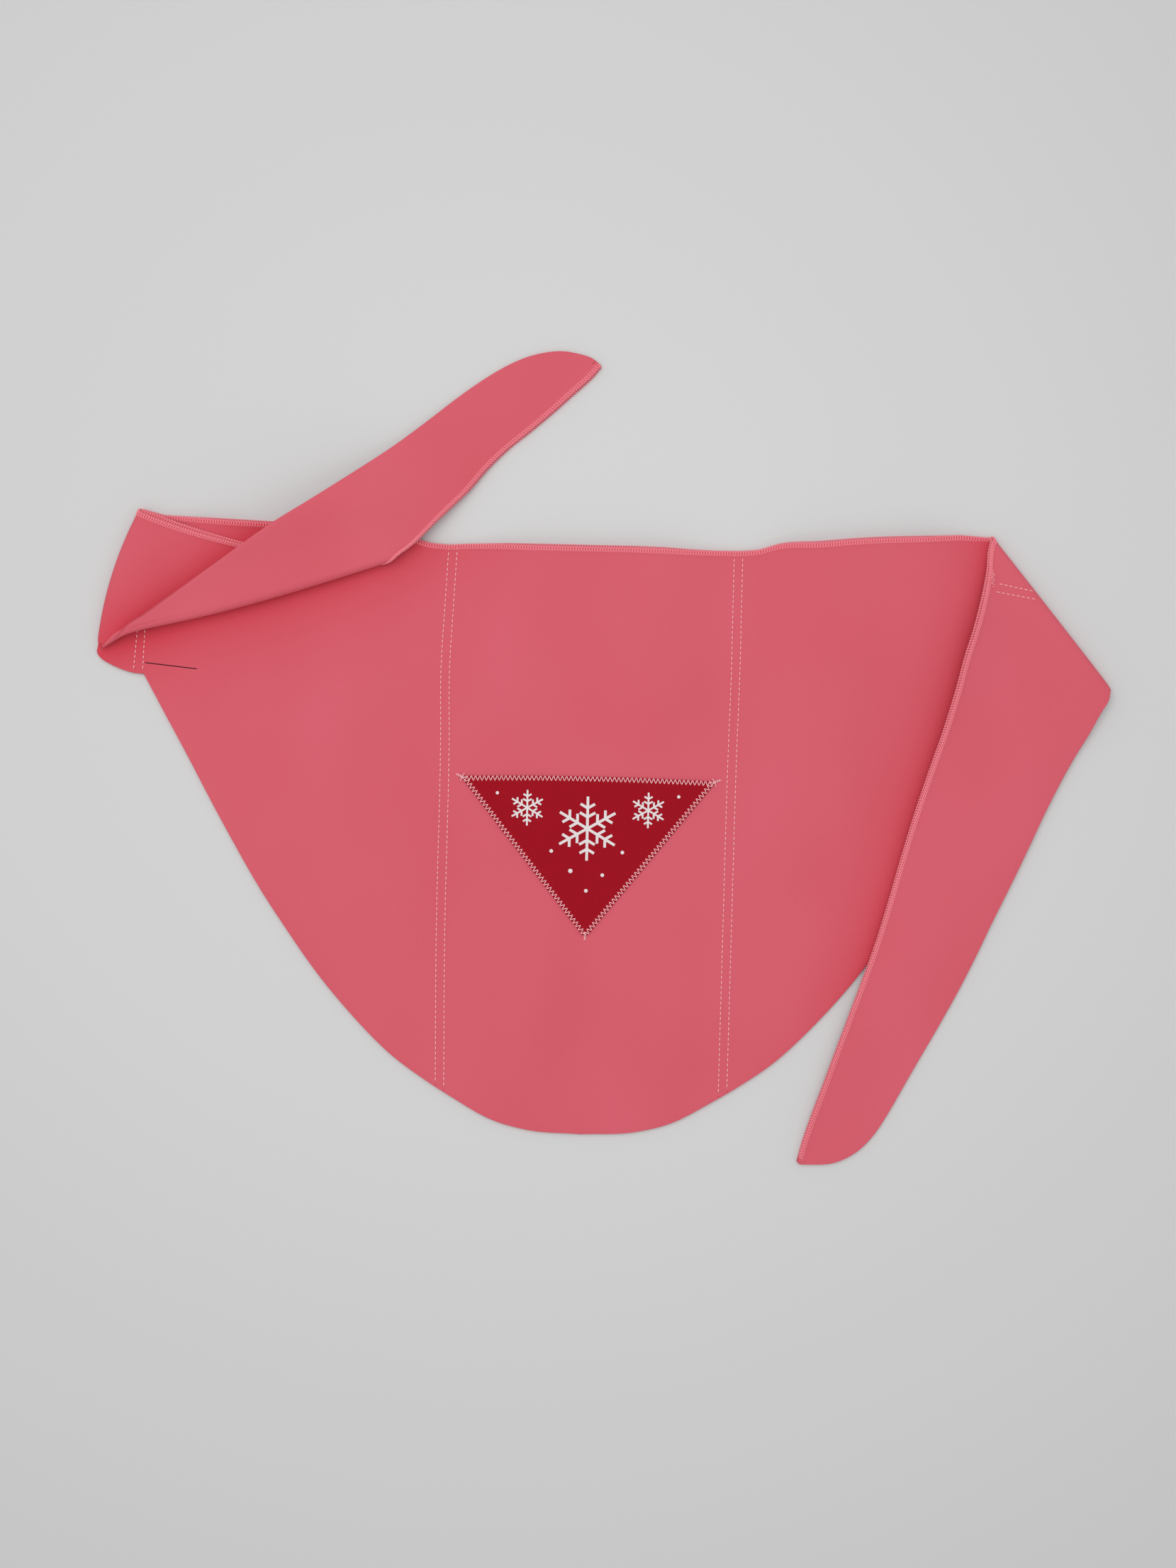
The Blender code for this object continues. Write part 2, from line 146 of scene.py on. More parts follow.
class Value:
    """One number that varies over a surface: an output socket of a material's nodes."""

    def __init__(self, finish, socket):
        self.finish = finish
        self.socket = socket

    def math(self, operation, *others):
        return self.finish.node("ShaderNodeMath", {"operation": operation}, (self, *others))

    def __add__(self, other):
        return self.math("ADD", other)

    def __sub__(self, other):
        return self.math("SUBTRACT", other)

    def __rsub__(self, other):
        return self.finish.node("ShaderNodeMath", {"operation": "SUBTRACT"}, (other, self))

    def __mul__(self, other):
        return self.math("MULTIPLY", other)

    def __truediv__(self, other):
        return self.math("DIVIDE", other)

    def size(self):
        return self.math("ABSOLUTE")

    def wave(self, length):
        """Sine of the value, one full wave for each length."""
        return (self * (2 * math.pi / length)).math("SINE")

    def bump(self, width):
        """1 where the value is 0, falling to 0 on both sides: one over one plus its square in widths."""
        scaled = self / width
        return self.finish.node("ShaderNodeMath", {"operation": "DIVIDE"}, (1.0, scaled * scaled + 1))

    def below(self, edge, soft):
        """1 under the edge and 0 over it, with a linear change as wide as soft."""
        limits = {"From Min": edge - soft / 2, "From Max": edge + soft / 2, "To Min": 1.0, "To Max": 0.0}
        return self.finish.node("ShaderNodeMapRange", {"clamp": True}, {"Value": self, **limits})


SOFT_GLOSS = 0.2


class Finish:
    """A material: its nodes, and the shader that shows them."""

    def __init__(self, name, roughness, sheen=0.0, sheen_tint=(1, 1, 1)):
        self.material = bpy.data.materials.new(name)
        self.material.use_nodes = True
        self.nodes = self.material.node_tree.nodes
        self.links = self.material.node_tree.links
        self.shader = self.nodes["Principled BSDF"]
        self.shader.inputs["Roughness"].default_value = roughness
        self.shader.inputs["Metallic"].default_value = 0
        self.shader.inputs["Specular IOR Level"].default_value = SOFT_GLOSS
        self.shader.inputs["Sheen Weight"].default_value = sheen
        self.shader.inputs["Sheen Tint"].default_value = (*sheen_tint, 1)

    def plug(self, socket, value):
        if isinstance(value, Value):
            self.links.new(value.socket, socket)
        else:
            socket.default_value = value

    def node(self, kind, settings, inputs, output=0):
        """Any node: its settings first, then the values or links of its sockets, by name or in order."""
        made = self.nodes.new(kind)
        for name, value in settings.items():
            setattr(made, name, value)
        pairs = inputs.items() if isinstance(inputs, dict) else enumerate(inputs)
        for name, value in pairs:
            self.plug(made.inputs[name], value)
        return Value(self, made.outputs[output])

    def parts(self, vector):
        """The three numbers of a vector."""
        return [self.node("ShaderNodeSeparateXYZ", {}, (vector,), axis) for axis in "XYZ"]

    def attribute(self, name):
        """The three numbers of a point attribute."""
        return self.parts(self.node("ShaderNodeAttribute", {"attribute_name": name}, {}, "Vector"))

    def place(self):
        return self.node("ShaderNodeTexCoord", {}, {}, "Object")

    def noise(self, size, detail=2.0, stretch=(1, 1, 1)):
        """Soft noise from 0 to 1 whose lumps are about as wide as size."""
        spread = self.node("ShaderNodeMapping", {}, {"Vector": self.place(), "Scale": stretch})
        values = {"Vector": spread, "Scale": 1 / size, "Detail": detail}
        return self.node("ShaderNodeTexNoise", {}, values)

    def mixed(self, share, first, second):
        """A colour between two colours, or between a colour and another mix."""
        made = self.nodes.new("ShaderNodeMix")
        made.data_type = "RGBA"
        colour_inputs = [socket for socket in made.inputs if socket.type == "RGBA"]
        self.plug(made.inputs["Factor"], share)
        for socket, colour in zip(colour_inputs, (first, second)):
            self.plug(socket, colour if isinstance(colour, Value) else (*colour, 1))
        return Value(self, [socket for socket in made.outputs if socket.type == "RGBA"][0])

    def coloured(self, colour):
        """The surface's colour, one for all or a mix."""
        value = colour if isinstance(colour, Value) else (*colour, 1)
        self.plug(self.shader.inputs["Base Color"], value)

    def raised(self, height, distance, strength=1.0):
        """Surface relief from a height between 0 and 1."""
        values = {"Height": height, "Distance": distance, "Strength": strength}
        self.plug(self.shader.inputs["Normal"], self.node("ShaderNodeBump", {}, values))


def far_out(x, y):
    """Distance from the place where x and y are 0: the root of the sum of their squares."""
    return (x * x + y * y).math("SQRT")


print("Shader helpers ready")

# %% [markdown]
# ## The pattern of the wrap
#
# A sewer starts from a paper pattern, and so does this file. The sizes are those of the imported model, so
# the cloth lies where its solids lie. All shapes are worked out in the pattern's own place, with the
# middle of the pockets' mouth at the origin, and are moved to the model's place at the end. The model's
# box tells by how much.

# %% Sizes of the wrap
CLOTH = 0.7 * MM
PLY_THICKNESS = 1.0 * MM
PLY_GAP = 0.3 * MM
LAYER_GAP = 0.8 * MM

POUCH_WIDTH = 504 * MM
POUCH_DEPTH = 332 * MM
TIE_ROOT_DEPTH = 78 * MM
MOUTH_RISE = 12 * MM
MOUTH_SETBACK = 1.5 * MM
MIDDLE_POCKET_WIDTH = 163 * MM
ROW_SPACING = 4.8 * MM
POCKET_LOFT = 4.8 * MM
POCKET_SLOPE_SHARE = 0.3
POCKET_FADE_SHARE = 0.18
POCKET_FLAT_SHARE = 0.68

FOLD_RADIUS = 2.2 * MM
TIGHT_FOLD_RADIUS = 1.7 * MM
FOLD_SETTLE = 40 * MM
DRAPE_START = 12 * MM
DRAPE_RUN = 45 * MM
PRESSED_RUN = 35 * MM

LEFT_FOLD_BOW = 3.8 * MM
LEFT_CORNER = (-4.7 * MM, 3.4 * MM)
LEFT_PINCH = (-26.7 * MM, 22.9 * MM)
LEFT_FOLD_END = (-278.9 * MM, -60.7 * MM)
LEFT_EDGE_SAG = 5.6 * MM
LEFT_BELLIES = (0.6 * MM, 1.6 * MM)
LEFT_TIE_REACH = 320.5 * MM
LEFT_TIE_WIDTH = 60 * MM
LEFT_TIE_BEARING = math.radians(29.05)

RIGHT_FOLD_BOW = 0.2 * MM
RIGHT_BELLY = 0.9 * MM
RIGHT_FOLD_INSET = 27.2 * MM
RIGHT_TIE_REACH = 371.5 * MM
RIGHT_TIE_WIDTH = 88 * MM
RIGHT_TIE_BEARING = math.radians(-105.9)

PATCH_WIDTH = 144 * MM
PATCH_HEIGHT = 88 * MM
PATCH_DROP = 131.5 * MM
PATCH_TOP_BOW = 1.2 * MM

HALF_WIDTH = POUCH_WIDTH / 2
ROW_X = MIDDLE_POCKET_WIDTH / 2
MID_RISE = PLY_THICKNESS + PLY_GAP / 2
PLY_ROOM = (PLY_THICKNESS + PLY_GAP - 0.05 * MM) / 2
LAYER_PITCH = 2 * PLY_THICKNESS + PLY_GAP + LAYER_GAP

patch_low, patch_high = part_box("patch")
MOVE = np.array(((patch_low.x + patch_high.x) / 2, patch_high.y + PATCH_DROP - PATCH_TOP_BOW, 0))
print("Pattern moved by mm:", np.round(MOVE / MM, 2).tolist())

# %% [markdown]
# The edges are curves through a few points. Straight pieces between the points would show as corners, so
# a cubic runs through them, whose slope at each point lies between those of the lines to its neighbours.

# %% Curves through tables
# Hem of the pouch, from its middle to the end of the mouth. Columns: distance across as a share of half
# the pouch's width, and drop as a share of the way from the tie root's depth to the pouch's depth.
HEM = np.array(
    (
        (0.000, 1.000),
        (0.125, 0.992),
        (0.200, 0.972),
        (0.290, 0.924),
        (0.360, 0.881),
        (0.425, 0.835),
        (0.520, 0.744),
        (0.600, 0.652),
        (0.670, 0.557),
        (0.733, 0.465),
        (0.790, 0.371),
        (0.843, 0.279),
        (0.895, 0.185),
        (0.948, 0.092),
        (1.000, 0.000),
    )
)

# Mouth over the middle pocket, and over a side pocket. Columns: distance across the pocket, for the
# middle one from its middle as a share of half its width, for a side one as a share of its width and
# counted away from the middle, and height as a share of the mouth's rise.
MIDDLE_MOUTH = np.array(
    (
        (-1.00, -0.12),
        (-0.85, -0.05),
        (-0.60, 0.03),
        (0.30, 0.03),
        (0.50, 0.00),
        (0.68, -0.07),
        (0.85, -0.12),
        (1.00, -0.12),
    )
)
SIDE_MOUTH = np.array(
    (
        (0.000, -0.12),
        (0.065, -0.03),
        (0.140, 0.30),
        (0.270, 0.46),
        (0.410, 0.66),
        (0.700, 0.86),
        (0.920, 0.96),
        (1.000, 1.00),
    )
)

# Sections across the left tie past its second fold, which is the first row, from the pinch to the tip.
# Columns: the overlocked edge's distance along and off the tie's axis, then the seamed edge's, as shares
# of its reach and width.
LEFT_TIE = np.array(
    (
        (0.509, -0.687, -0.009, -0.209),
        (0.537, -0.671, 0.045, -0.075),
        (0.560, -0.653, 0.085, -0.050),
        (0.577, -0.631, 0.137, -0.013),
        (0.593, -0.606, 0.237, 0.061),
        (0.616, -0.568, 0.357, 0.149),
        (0.652, -0.513, 0.442, 0.178),
        (0.695, -0.448, 0.528, 0.210),
        (0.740, -0.354, 0.610, 0.251),
        (0.789, -0.279, 0.686, 0.312),
        (0.839, -0.228, 0.756, 0.376),
        (0.888, -0.172, 0.822, 0.417),
        (0.931, -0.115, 0.876, 0.419),
        (0.966, -0.070, 0.919, 0.378),
        (0.985, -0.040, 0.957, 0.293),
        (0.999, -0.007, 0.991, 0.140),
        (1.001, -0.004, 1.000, 0.040),
    )
)

# Sections across the right tie from its fold, which is the first row, to its tip. Columns as for the left
# tie.
RIGHT_TIE = np.array(
    (
        (0.000, -0.004, 0.1635, 0.9800),
        (0.026, 0.007, 0.184, 1.025),
        (0.054, 0.036, 0.213, 0.998),
        (0.095, 0.057, 0.248, 0.966),
        (0.142, 0.067, 0.285, 0.924),
        (0.187, 0.065, 0.327, 0.886),
        (0.242, 0.073, 0.379, 0.848),
        (0.304, 0.072, 0.439, 0.813),
        (0.372, 0.060, 0.499, 0.775),
        (0.437, 0.053, 0.559, 0.733),
        (0.507, 0.053, 0.620, 0.695),
        (0.576, 0.058, 0.678, 0.652),
        (0.641, 0.058, 0.737, 0.599),
        (0.700, 0.047, 0.791, 0.546),
        (0.757, 0.033, 0.840, 0.499),
        (0.814, 0.019, 0.884, 0.457),
        (0.868, 0.007, 0.925, 0.406),
        (0.916, -0.006, 0.958, 0.328),
        (0.959, -0.014, 0.983, 0.209),
        (0.991, -0.013, 0.997, 0.044),
        (0.996, -0.013, 0.998, 0.006),
    )
)

# Sewn edge of the left tie's root, from the end of the hem to the first fold, in millimetres.
LEFT_ROOT = np.array(
    (
        (-252.0, -78.0),
        (-258.8, -77.3),
        (-265.4, -75.3),
        (-271.6, -72.6),
        (-276.4, -69.6),
        (-278.6, -66.6),
        (-277.8, -63.6),
    )
)

# How far the two inner seams sway to the right of straight. Columns: depth as a share of the pouch's
# depth there, then the left seam's sway and the right seam's in millimetres.
SEAM_SWAY = np.array(
    (
        (0.00, 2.4, 0.2),
        (0.10, 1.1, 0.1),
        (0.23, -0.5, 0.0),
        (0.36, 0.2, -0.7),
        (0.72, 0.2, -1.5),
        (1.00, 1.6, -2.0),
    )
)


def ease(share):
    """A rise from 0 to 1 with level ends: half of one minus the cosine."""
    return (1 - np.cos(np.pi * np.clip(share, 0, 1))) / 2


def fading(value, start, run):
    """1 up to a start, then eased down to 0 over a run."""
    return 1 - ease((value - start) / run)


def through(at, knots, values):
    """Cubic curve through points: every stretch blends its two end values and its two end slopes."""
    slopes = np.gradient(values, knots)
    left = np.clip(np.searchsorted(knots, at, side="right") - 1, 0, len(knots) - 2)
    step = knots[left + 1] - knots[left]
    t = np.clip((at - knots[left]) / step, 0, 1)
    start = (1 + 2 * t) * (1 - t) ** 2 * values[left] + t * (1 - t) ** 2 * step * slopes[left]
    return start + t * t * (3 - 2 * t) * values[left + 1] + t * t * (t - 1) * step * slopes[left + 1]


def unit(vectors):
    """Vectors shortened to length one: each divided by its length."""
    return vectors / np.maximum(np.linalg.norm(vectors, axis=-1, keepdims=True), 1e-12)


def distances_along(points):
    """Length along a row of points: the running sum of the steps between them."""
    steps = np.linalg.norm(np.diff(points, axis=0), axis=1)
    return np.concatenate(([0], np.cumsum(steps)))


def mouth_y(x):
    """Height of the mouth's edge over its middle: the rise times a curve across each pocket."""
    across = np.abs(x)
    middle = np.interp(x / ROW_X, MIDDLE_MOUTH[:, 0], MIDDLE_MOUTH[:, 1])
    side = through((across - ROW_X) / (HALF_WIDTH - ROW_X), SIDE_MOUTH[:, 0], SIDE_MOUTH[:, 1])
    return MOUTH_RISE * np.where(across < ROW_X, middle, side)


def hem_y(x):
    """Height of the sewn lower edge: minus the root's depth and a curved share of the depth below it."""
    drop = through(np.abs(x) / HALF_WIDTH, HEM[:, 0], HEM[:, 1])
    return -(TIE_ROOT_DEPTH + drop * (POUCH_DEPTH - TIE_ROOT_DEPTH))


def depth_share(x, y):
    """0 at the mouth and 1 at the hem, straight down through a point."""
    return (mouth_y(x) - y) / (mouth_y(x) - hem_y(x))


def seam_x(side, share):
    """Middle of an inner pair of rows, left for side -1 and right for side 1, at a share of the depth."""
    sway = through(share, SEAM_SWAY[:, 0], SEAM_SWAY[:, 1 if side < 0 else 2])
    return side * ROW_X + sway * MM


def tie_edges(anchor, bearing, reach, width, table, at):
    """Both edges of a tie between its table's rows: along the axis and off it from the anchor."""
    along = np.array((math.cos(bearing), math.sin(bearing)))
    off = np.array((-along[1], along[0]))
    rows = np.arange(len(table), dtype=float)
    edges = []
    for first in (0, 2):
        forward = through(at, rows, table[:, first]) * reach
        aside = through(at, rows, table[:, first + 1]) * width
        edges.append(anchor + np.outer(forward, along) + np.outer(aside, off))
    return edges


for place in (0.0, 0.1, 0.2):
    low, high = (round(float(edge(place)), 4) for edge in (hem_y, mouth_y))
    print("Pouch at", place, "m: from", low, "to", high)

# %% [markdown]
# ## Folds
#
# Where the cloth turns back on itself it rounds a bend, because cloth has thickness and isn't ironed. A
# fold could be a crease in a drawing, but light and shadow come from its roundness. So each fold is a
# straight or slightly bowed line, with a half circle round it whose radius may differ at its two ends.
#
# The edges of a tie cross its fold at a slant. They go in under the bend at one place and come out on top
# a little further on, where the tie's outline crosses the fold's line.
#
# The left tie's second fold is pulled tight near its seamed end, so there it curves in towards the tie.
# The cloth next to it follows, which is a smooth push of every place near the fold. The tie's seamed edge
# is known after that push, so its place before the push is found step by step.

# %% Folds


class Fold:
    """A fold line seen from above. near lies on the overlocked edge and far on the seamed one.

    bow moves the middle of the line outwards. belly widens the bend there, without moving its outline. An
    edge goes in under the bend at low_near or low_far, and comes out on top at near or far.
    """

    def __init__(self, near, far, outward, radii, bow, belly):
        span = far - near
        normal = unit(np.array((-span[1], span[0])))
        self.outward = normal * np.sign(normal @ np.array(outward))
        self.radii = np.maximum(radii, LAYER_PITCH / 2)
        self.inset = self.radii + MID_RISE
        self.near = near - self.outward * self.inset[0]
        self.far = far - self.outward * self.inset[1]
        self.low_near, self.low_far = self.near, self.far
        self.belly = belly
        self.bow = (bow - belly) * self.outward

    def leave(self, edges):
        """Move the upper ends to where a tie's edges cross the fold's line, and keep the rows there."""
        rows = np.linspace(0, LAST_CROSSING_ROW, 40 * LAST_CROSSING_ROW + 1)
        self.rows = [float(np.interp(0, self.inside(edge), rows)) for edge in edges(rows)]
        self.near, self.far = (edges(np.array((row,)))[side][0] for side, row in enumerate(self.rows))

    def tie_lines(self, edges, at, last):
        """Both edges of a tie beyond the fold: their rows run from where each of them leaves the bend."""
        near_at, far_at = (at + row * (1 - at / last) for row in self.rows)
        return edges(near_at)[0], edges(far_at)[1]

    def radius(self, points):
        """The bend's radius: it changes evenly from one end to the other, with the belly between them."""
        span = self.far - self.near
        share = np.clip((points - self.near) @ span / (span @ span), 0, 1)
        even = self.radii[0] + share * (self.radii[1] - self.radii[0])
        return even + self.belly * 4 * share * (1 - share)

    def inside(self, points):
        """Distance from the fold line, on the side where the cloth lies."""
        return (self.near - points) @ self.outward

    def rise(self, plan):
        """0 at the fold line, rising to 1 further in, for a grid of plan points."""
        return ease(self.inside(flat_points(plan)).reshape(plan.shape[:2]) / HOVER_RUN)

    def lift(self, points):
        """How much the cloth next to the fold stands over flat layers: twice the radius, fading away."""
        extra = 2 * self.radius(points) - LAYER_PITCH
        return extra * fading(self.inside(points), 0, FOLD_SETTLE)


LAST_CROSSING_ROW = 4
# How far the second fold is drawn in, and how far from it the cloth follows. The peak is that of the
# curve along the fold.
PULL = 6.6 * MM
PULL_RUN = 18 * MM
PULL_PEAK = 0.6
PULL_ROUNDS = 40
# How far apart the overlocked edge goes in under the second fold and comes out on it.
EDGE_SLIDE = 18 * MM
LEFT_ROWS = len(LEFT_TIE) - 1
RIGHT_ROWS = len(RIGHT_TIE) - 1
left_corner = np.array((-HALF_WIDTH + LEFT_CORNER[0], MOUTH_RISE + LEFT_CORNER[1]))
left_pinch = np.array((-HALF_WIDTH + LEFT_PINCH[0], LEFT_PINCH[1] - TIE_ROOT_DEPTH))
right_x = HALF_WIDTH - RIGHT_FOLD_INSET
right_corner = np.array((right_x, float(mouth_y(right_x))))


def left_tie_edges(at):
    return tie_edges(left_pinch, LEFT_TIE_BEARING, LEFT_TIE_REACH, LEFT_TIE_WIDTH, LEFT_TIE, at)


def right_tie_edges(at):
    return tie_edges(right_corner, RIGHT_TIE_BEARING, RIGHT_TIE_REACH, RIGHT_TIE_WIDTH, RIGHT_TIE, at)


second_near, second_far = (edge[0] for edge in left_tie_edges(np.zeros(1)))
right_near, right_far = (edge[0] for edge in right_tie_edges(np.zeros(1)))
fold_end = np.array(LEFT_FOLD_END)
even_radii = (FOLD_RADIUS, FOLD_RADIUS)
uneven_radii = (TIGHT_FOLD_RADIUS, FOLD_RADIUS)
left_first = Fold(left_corner, fold_end, (-1, 0), even_radii, LEFT_FOLD_BOW, LEFT_BELLIES[0])
left_second = Fold(second_near, second_far, (0, -1), uneven_radii, 0, LEFT_BELLIES[1])
right_fold = Fold(right_near, right_far, (1, 0), uneven_radii, RIGHT_FOLD_BOW, RIGHT_BELLY)
pull_start = left_second.near
pull_span = left_second.far - left_second.near


def pulled(points):
    """How far the second fold pulls places in: u cubed times 1 - u**16 for a share u along the fold."""
    share = np.clip((points - pull_start) @ pull_span / (pull_span @ pull_span), 0, 1)
    size = PULL * share**3 * (1 - share**16) / PULL_PEAK
    return np.outer(size * fading(left_second.inside(points), 0, PULL_RUN), -left_second.outward)


def left_tie_before(at):
    """The left tie's edges before the pull, which is taken off the seamed edge until that settles."""
    near, far = left_tie_edges(at)
    before = far
    for _ in range(PULL_ROUNDS):
        before = far - pulled(before)
    return near, before


left_second.leave(left_tie_before)
left_second.low_near = left_second.near + EDGE_SLIDE * unit(left_second.far - left_second.near)
right_fold.leave(right_tie_edges)
print("Both ties leave their folds at rows", np.round(left_second.rows + right_fold.rows, 2).tolist())
for name, fold in (("left first", left_first), ("left second", left_second), ("right", right_fold)):
    print("Fold", name, "is", round(float(np.linalg.norm(fold.far - fold.near)) / MM, 1), "mm long")

# %% [markdown]
# ## How high the cloth lies
#
# From above the cloth is nearly flat, but the pockets gape a little, and each folded layer rides over
# what is under it. A cloth simulation could find these heights. Formulas give the same soft steps every
# time, and they keep the plies apart by a known distance.

# %% Pockets and layers
HEM_RUN = 25 * MM
RIPPLE_HEIGHT = 0.7 * MM
# Slow waves of the cloth. Columns: direction in degrees, wavelength in millimetres, and start as a share.
RIPPLES = np.array(((8, 61, 0.10), (-21, 97, 0.45), (74, 143, 0.80), (-4, 38, 0.30)))


def pocket_shape(x, y):
    """1 in the middle of each pocket and 0 at its seams, eased up over a share of the width."""
    share = np.clip(depth_share(x, y), 0, 1)
    end = np.full_like(x, HALF_WIDTH)
    seams = (-end, seam_x(-1, share), seam_x(1, share), end)
    across = np.zeros_like(x)
    for low, high in zip(seams[:-1], seams[1:]):
        place = (x - low - ROW_SPACING / 2) / (high - low - ROW_SPACING)
        slopes = [ease(part / POCKET_SLOPE_SHARE) for part in (place, 1 - place)]
        across = np.maximum(across, slopes[0] * slopes[1])
    return across


def pressed(x, y):
    """0 under the right fold, rising to 1 away from it."""
    points = np.column_stack((np.ravel(x), np.ravel(y)))
    return ease(right_fold.inside(points) / PRESSED_RUN).reshape(np.shape(x))


def pocket_loft(x, y):
    """How far a pocket gapes: the full loft at the mouth's middle, fading down and to the seams."""
    fade = fading(depth_share(x, y), POCKET_FADE_SHARE, POCKET_FLAT_SHARE - POCKET_FADE_SHARE)
    return POCKET_LOFT * pocket_shape(x, y) * fade * pressed(x, y)


def ripple(x, y):
    """Slow waves of the cloth, from 0 to the ripple's height: a mean of sines in a few directions."""
    total = np.zeros_like(x)
    for degrees, length, start in RIPPLES:
        turn = math.radians(degrees)
        total += np.sin(2 * np.pi * ((x * math.cos(turn) + y * math.sin(turn)) / (length * MM) + start))
    return RIPPLE_HEIGHT * (0.5 + 0.5 * total / len(RIPPLES))


def stand_off(x, y, hem_gap):
    """How far the pouch's front ply stands off: the loft and the slow waves, which fade at the hem."""
    return pocket_loft(x, y) + ripple(x, y) * pocket_shape(x, y) * pressed(x, y) * ease(hem_gap / HEM_RUN)


def outside_distance(points, outline):
    """Distance from points to a closed outline, the least over its sides, or 0 inside."""
    spans = np.roll(outline, -1, axis=0) - outline
    to_point = points[:, None] - outline[None]
    share = np.clip((to_point * spans).sum(2) / (spans * spans).sum(1), 0, 1)
    nearest = np.linalg.norm(to_point - share[..., None] * spans, axis=2).min(axis=1)
    ends = outline + spans
    crosses = (outline[:, 1] > points[:, 1, None]) != (ends[:, 1] > points[:, 1, None])
    rise = np.where(np.abs(spans[:, 1]) < 1e-12, 1e-12, spans[:, 1])
    reach = outline[:, 0] + (points[:, 1, None] - outline[:, 1]) * spans[:, 0] / rise
    within = (crosses & (points[:, 0, None] < reach)).sum(axis=1) % 2 == 1
    return np.where(within, 0.0, nearest)


def drape(points, outline):
    """1 over an outline and just outside it, falling to 0 further out."""
    return fading(outside_distance(points, outline), DRAPE_START, DRAPE_RUN)


outline_x = np.linspace(left_first.near[0], right_fold.low_near[0], 60)
hem_x = np.linspace(-HALF_WIDTH, HALF_WIDTH, 80)
pouch_outline = np.concatenate(
    (
        np.column_stack((outline_x, mouth_y(outline_x))),
        [right_fold.low_far],
        np.column_stack((hem_x, hem_y(hem_x)))[::-1],
        [left_first.far],
    )
)
first_flap = np.array((left_first.near, left_first.far, left_second.far, left_second.near))


def over_pouch(points):
    """Top of what a first layer lies on: the pouch where there is one, else the table."""
    top = LAYER_PITCH + pocket_loft(points[:, 0], points[:, 1])
    return top * drape(points, pouch_outline)


def first_layer(points, fold):
    """Middle height between the plies, one fold away from the pouch."""
    return over_pouch(points) + MID_RISE + fold.lift(points) * drape(points, pouch_outline)


def second_layer(points):
    """Middle height between the plies after the left tie's second fold."""
    step = (LAYER_PITCH + left_first.lift(points)) * drape(points, first_flap)
    return over_pouch(points) + MID_RISE + step + left_second.lift(points)


probe = np.array(((0.0, -0.02), (-0.16, -0.02)))
print("Loft at two places in mm:", np.round(pocket_loft(probe[:, 0], probe[:, 1]) / MM, 2).tolist())

# %% [markdown]
# ## One ply as one surface
#
# Both plies share one middle surface between them. It is ruled: at each place along the wrap a line runs
# from the overlocked edge to the seamed edge. The lines are upright over the pockets, and they fan out
# where a tie folds away. Seven legs follow each other, from the left tip to the right tip: tie, bend,
# flap, bend, pouch, bend and tie. A leg knows the two ends of its lines, their bow, and how high a point
# lies.
#
# The two cut edges never match exactly, so one ply shows a little beyond the other. Each leg also says
# how far the front ply and the back ply are drawn back from the edges.
#
# The outline was read off a picture taken from above, in which things higher up look larger. So every
# point is drawn in towards the middle of the view, by as much as its height makes it look larger.

# %% The legs of the strip
# Distances from an edge at which the surface has its first points.
NEAR_ROWS = np.array((0.0, 0.5, 1.0, 1.6, 2.2, 2.8, 3.6, 4.8, 6.5)) * MM
FAR_ROWS = np.array((6.0, 4.2, 3.0, 2.1, 1.4, 0.9, 0.5, 0.2, 0.0)) * MM
BETWEEN_ROWS = 56
EDGE_ZONE = NEAR_ROWS[-1] + FAR_ROWS[0]
EDGE_ZONE_MOST = 0.8
USABLE_LEAST = 0.2
BEND_STEPS = 14
LEFT_TIE_STEPS = 150
RIGHT_TIE_STEPS = 160
FLAP_STEPS = 44
SIDE_STEPS = 66
MIDDLE_STEPS = 74
TURN_STEPS = 22
HEM_STEP = 2 * MM

# How far one ply is drawn back from the other's edge.
LAP = 0.7 * MM
FLAP_LAP = 2.2 * MM
RIGHT_LAP = 0.9 * MM
PINCH_LAP = 1.7 * MM
# How high a tie stands off along its free edge, and how far from the fold it has risen to that.
SEAM_HOVER = 10.5 * MM
EDGE_HOVER = 7.5 * MM
HOVER_RUN = 42 * MM
# Where things fade along a tie: start and run, as shares of the way from its fold to its tip.
SEAM_HOVER_FADE = (0.22, 0.44)
EDGE_HOVER_FADE = (0.06, 0.70)
PINCH_LAP_FADE = (0.06, 0.20)
LEFT_BOW_FADE = (0.0, 0.20)
RIGHT_BOW_FADE = (0.0, 0.15)
LEFT_TIP_SHARE = 0.12
RIGHT_TIP_SHARE = 0.05
RIGHT_LAP_LOSS = 0.55
# What the threads do to the overlocked edge, and how the plies close up at the seam.
EDGE_THREAD_LIFT = 0.45 * MM
EDGE_THREAD_ROOM = 0.5 * MM
EDGE_THREAD_RUN = 5 * MM
CLOSED_ROOM = 0.5 * CLOTH + 0.01 * MM
SEAM_RUN = 3.5 * MM


def drawn_in(points):
    """Points moved towards the view's middle, by their height's share of the camera's height."""
    centre = np.array(VIEW_MIDDLE) - MOVE[:2]
    shrink = 1 - points[..., 2:] / CAMERA_HEIGHT
    return np.dstack((centre + (points[..., :2] - centre) * shrink, points[..., 2]))


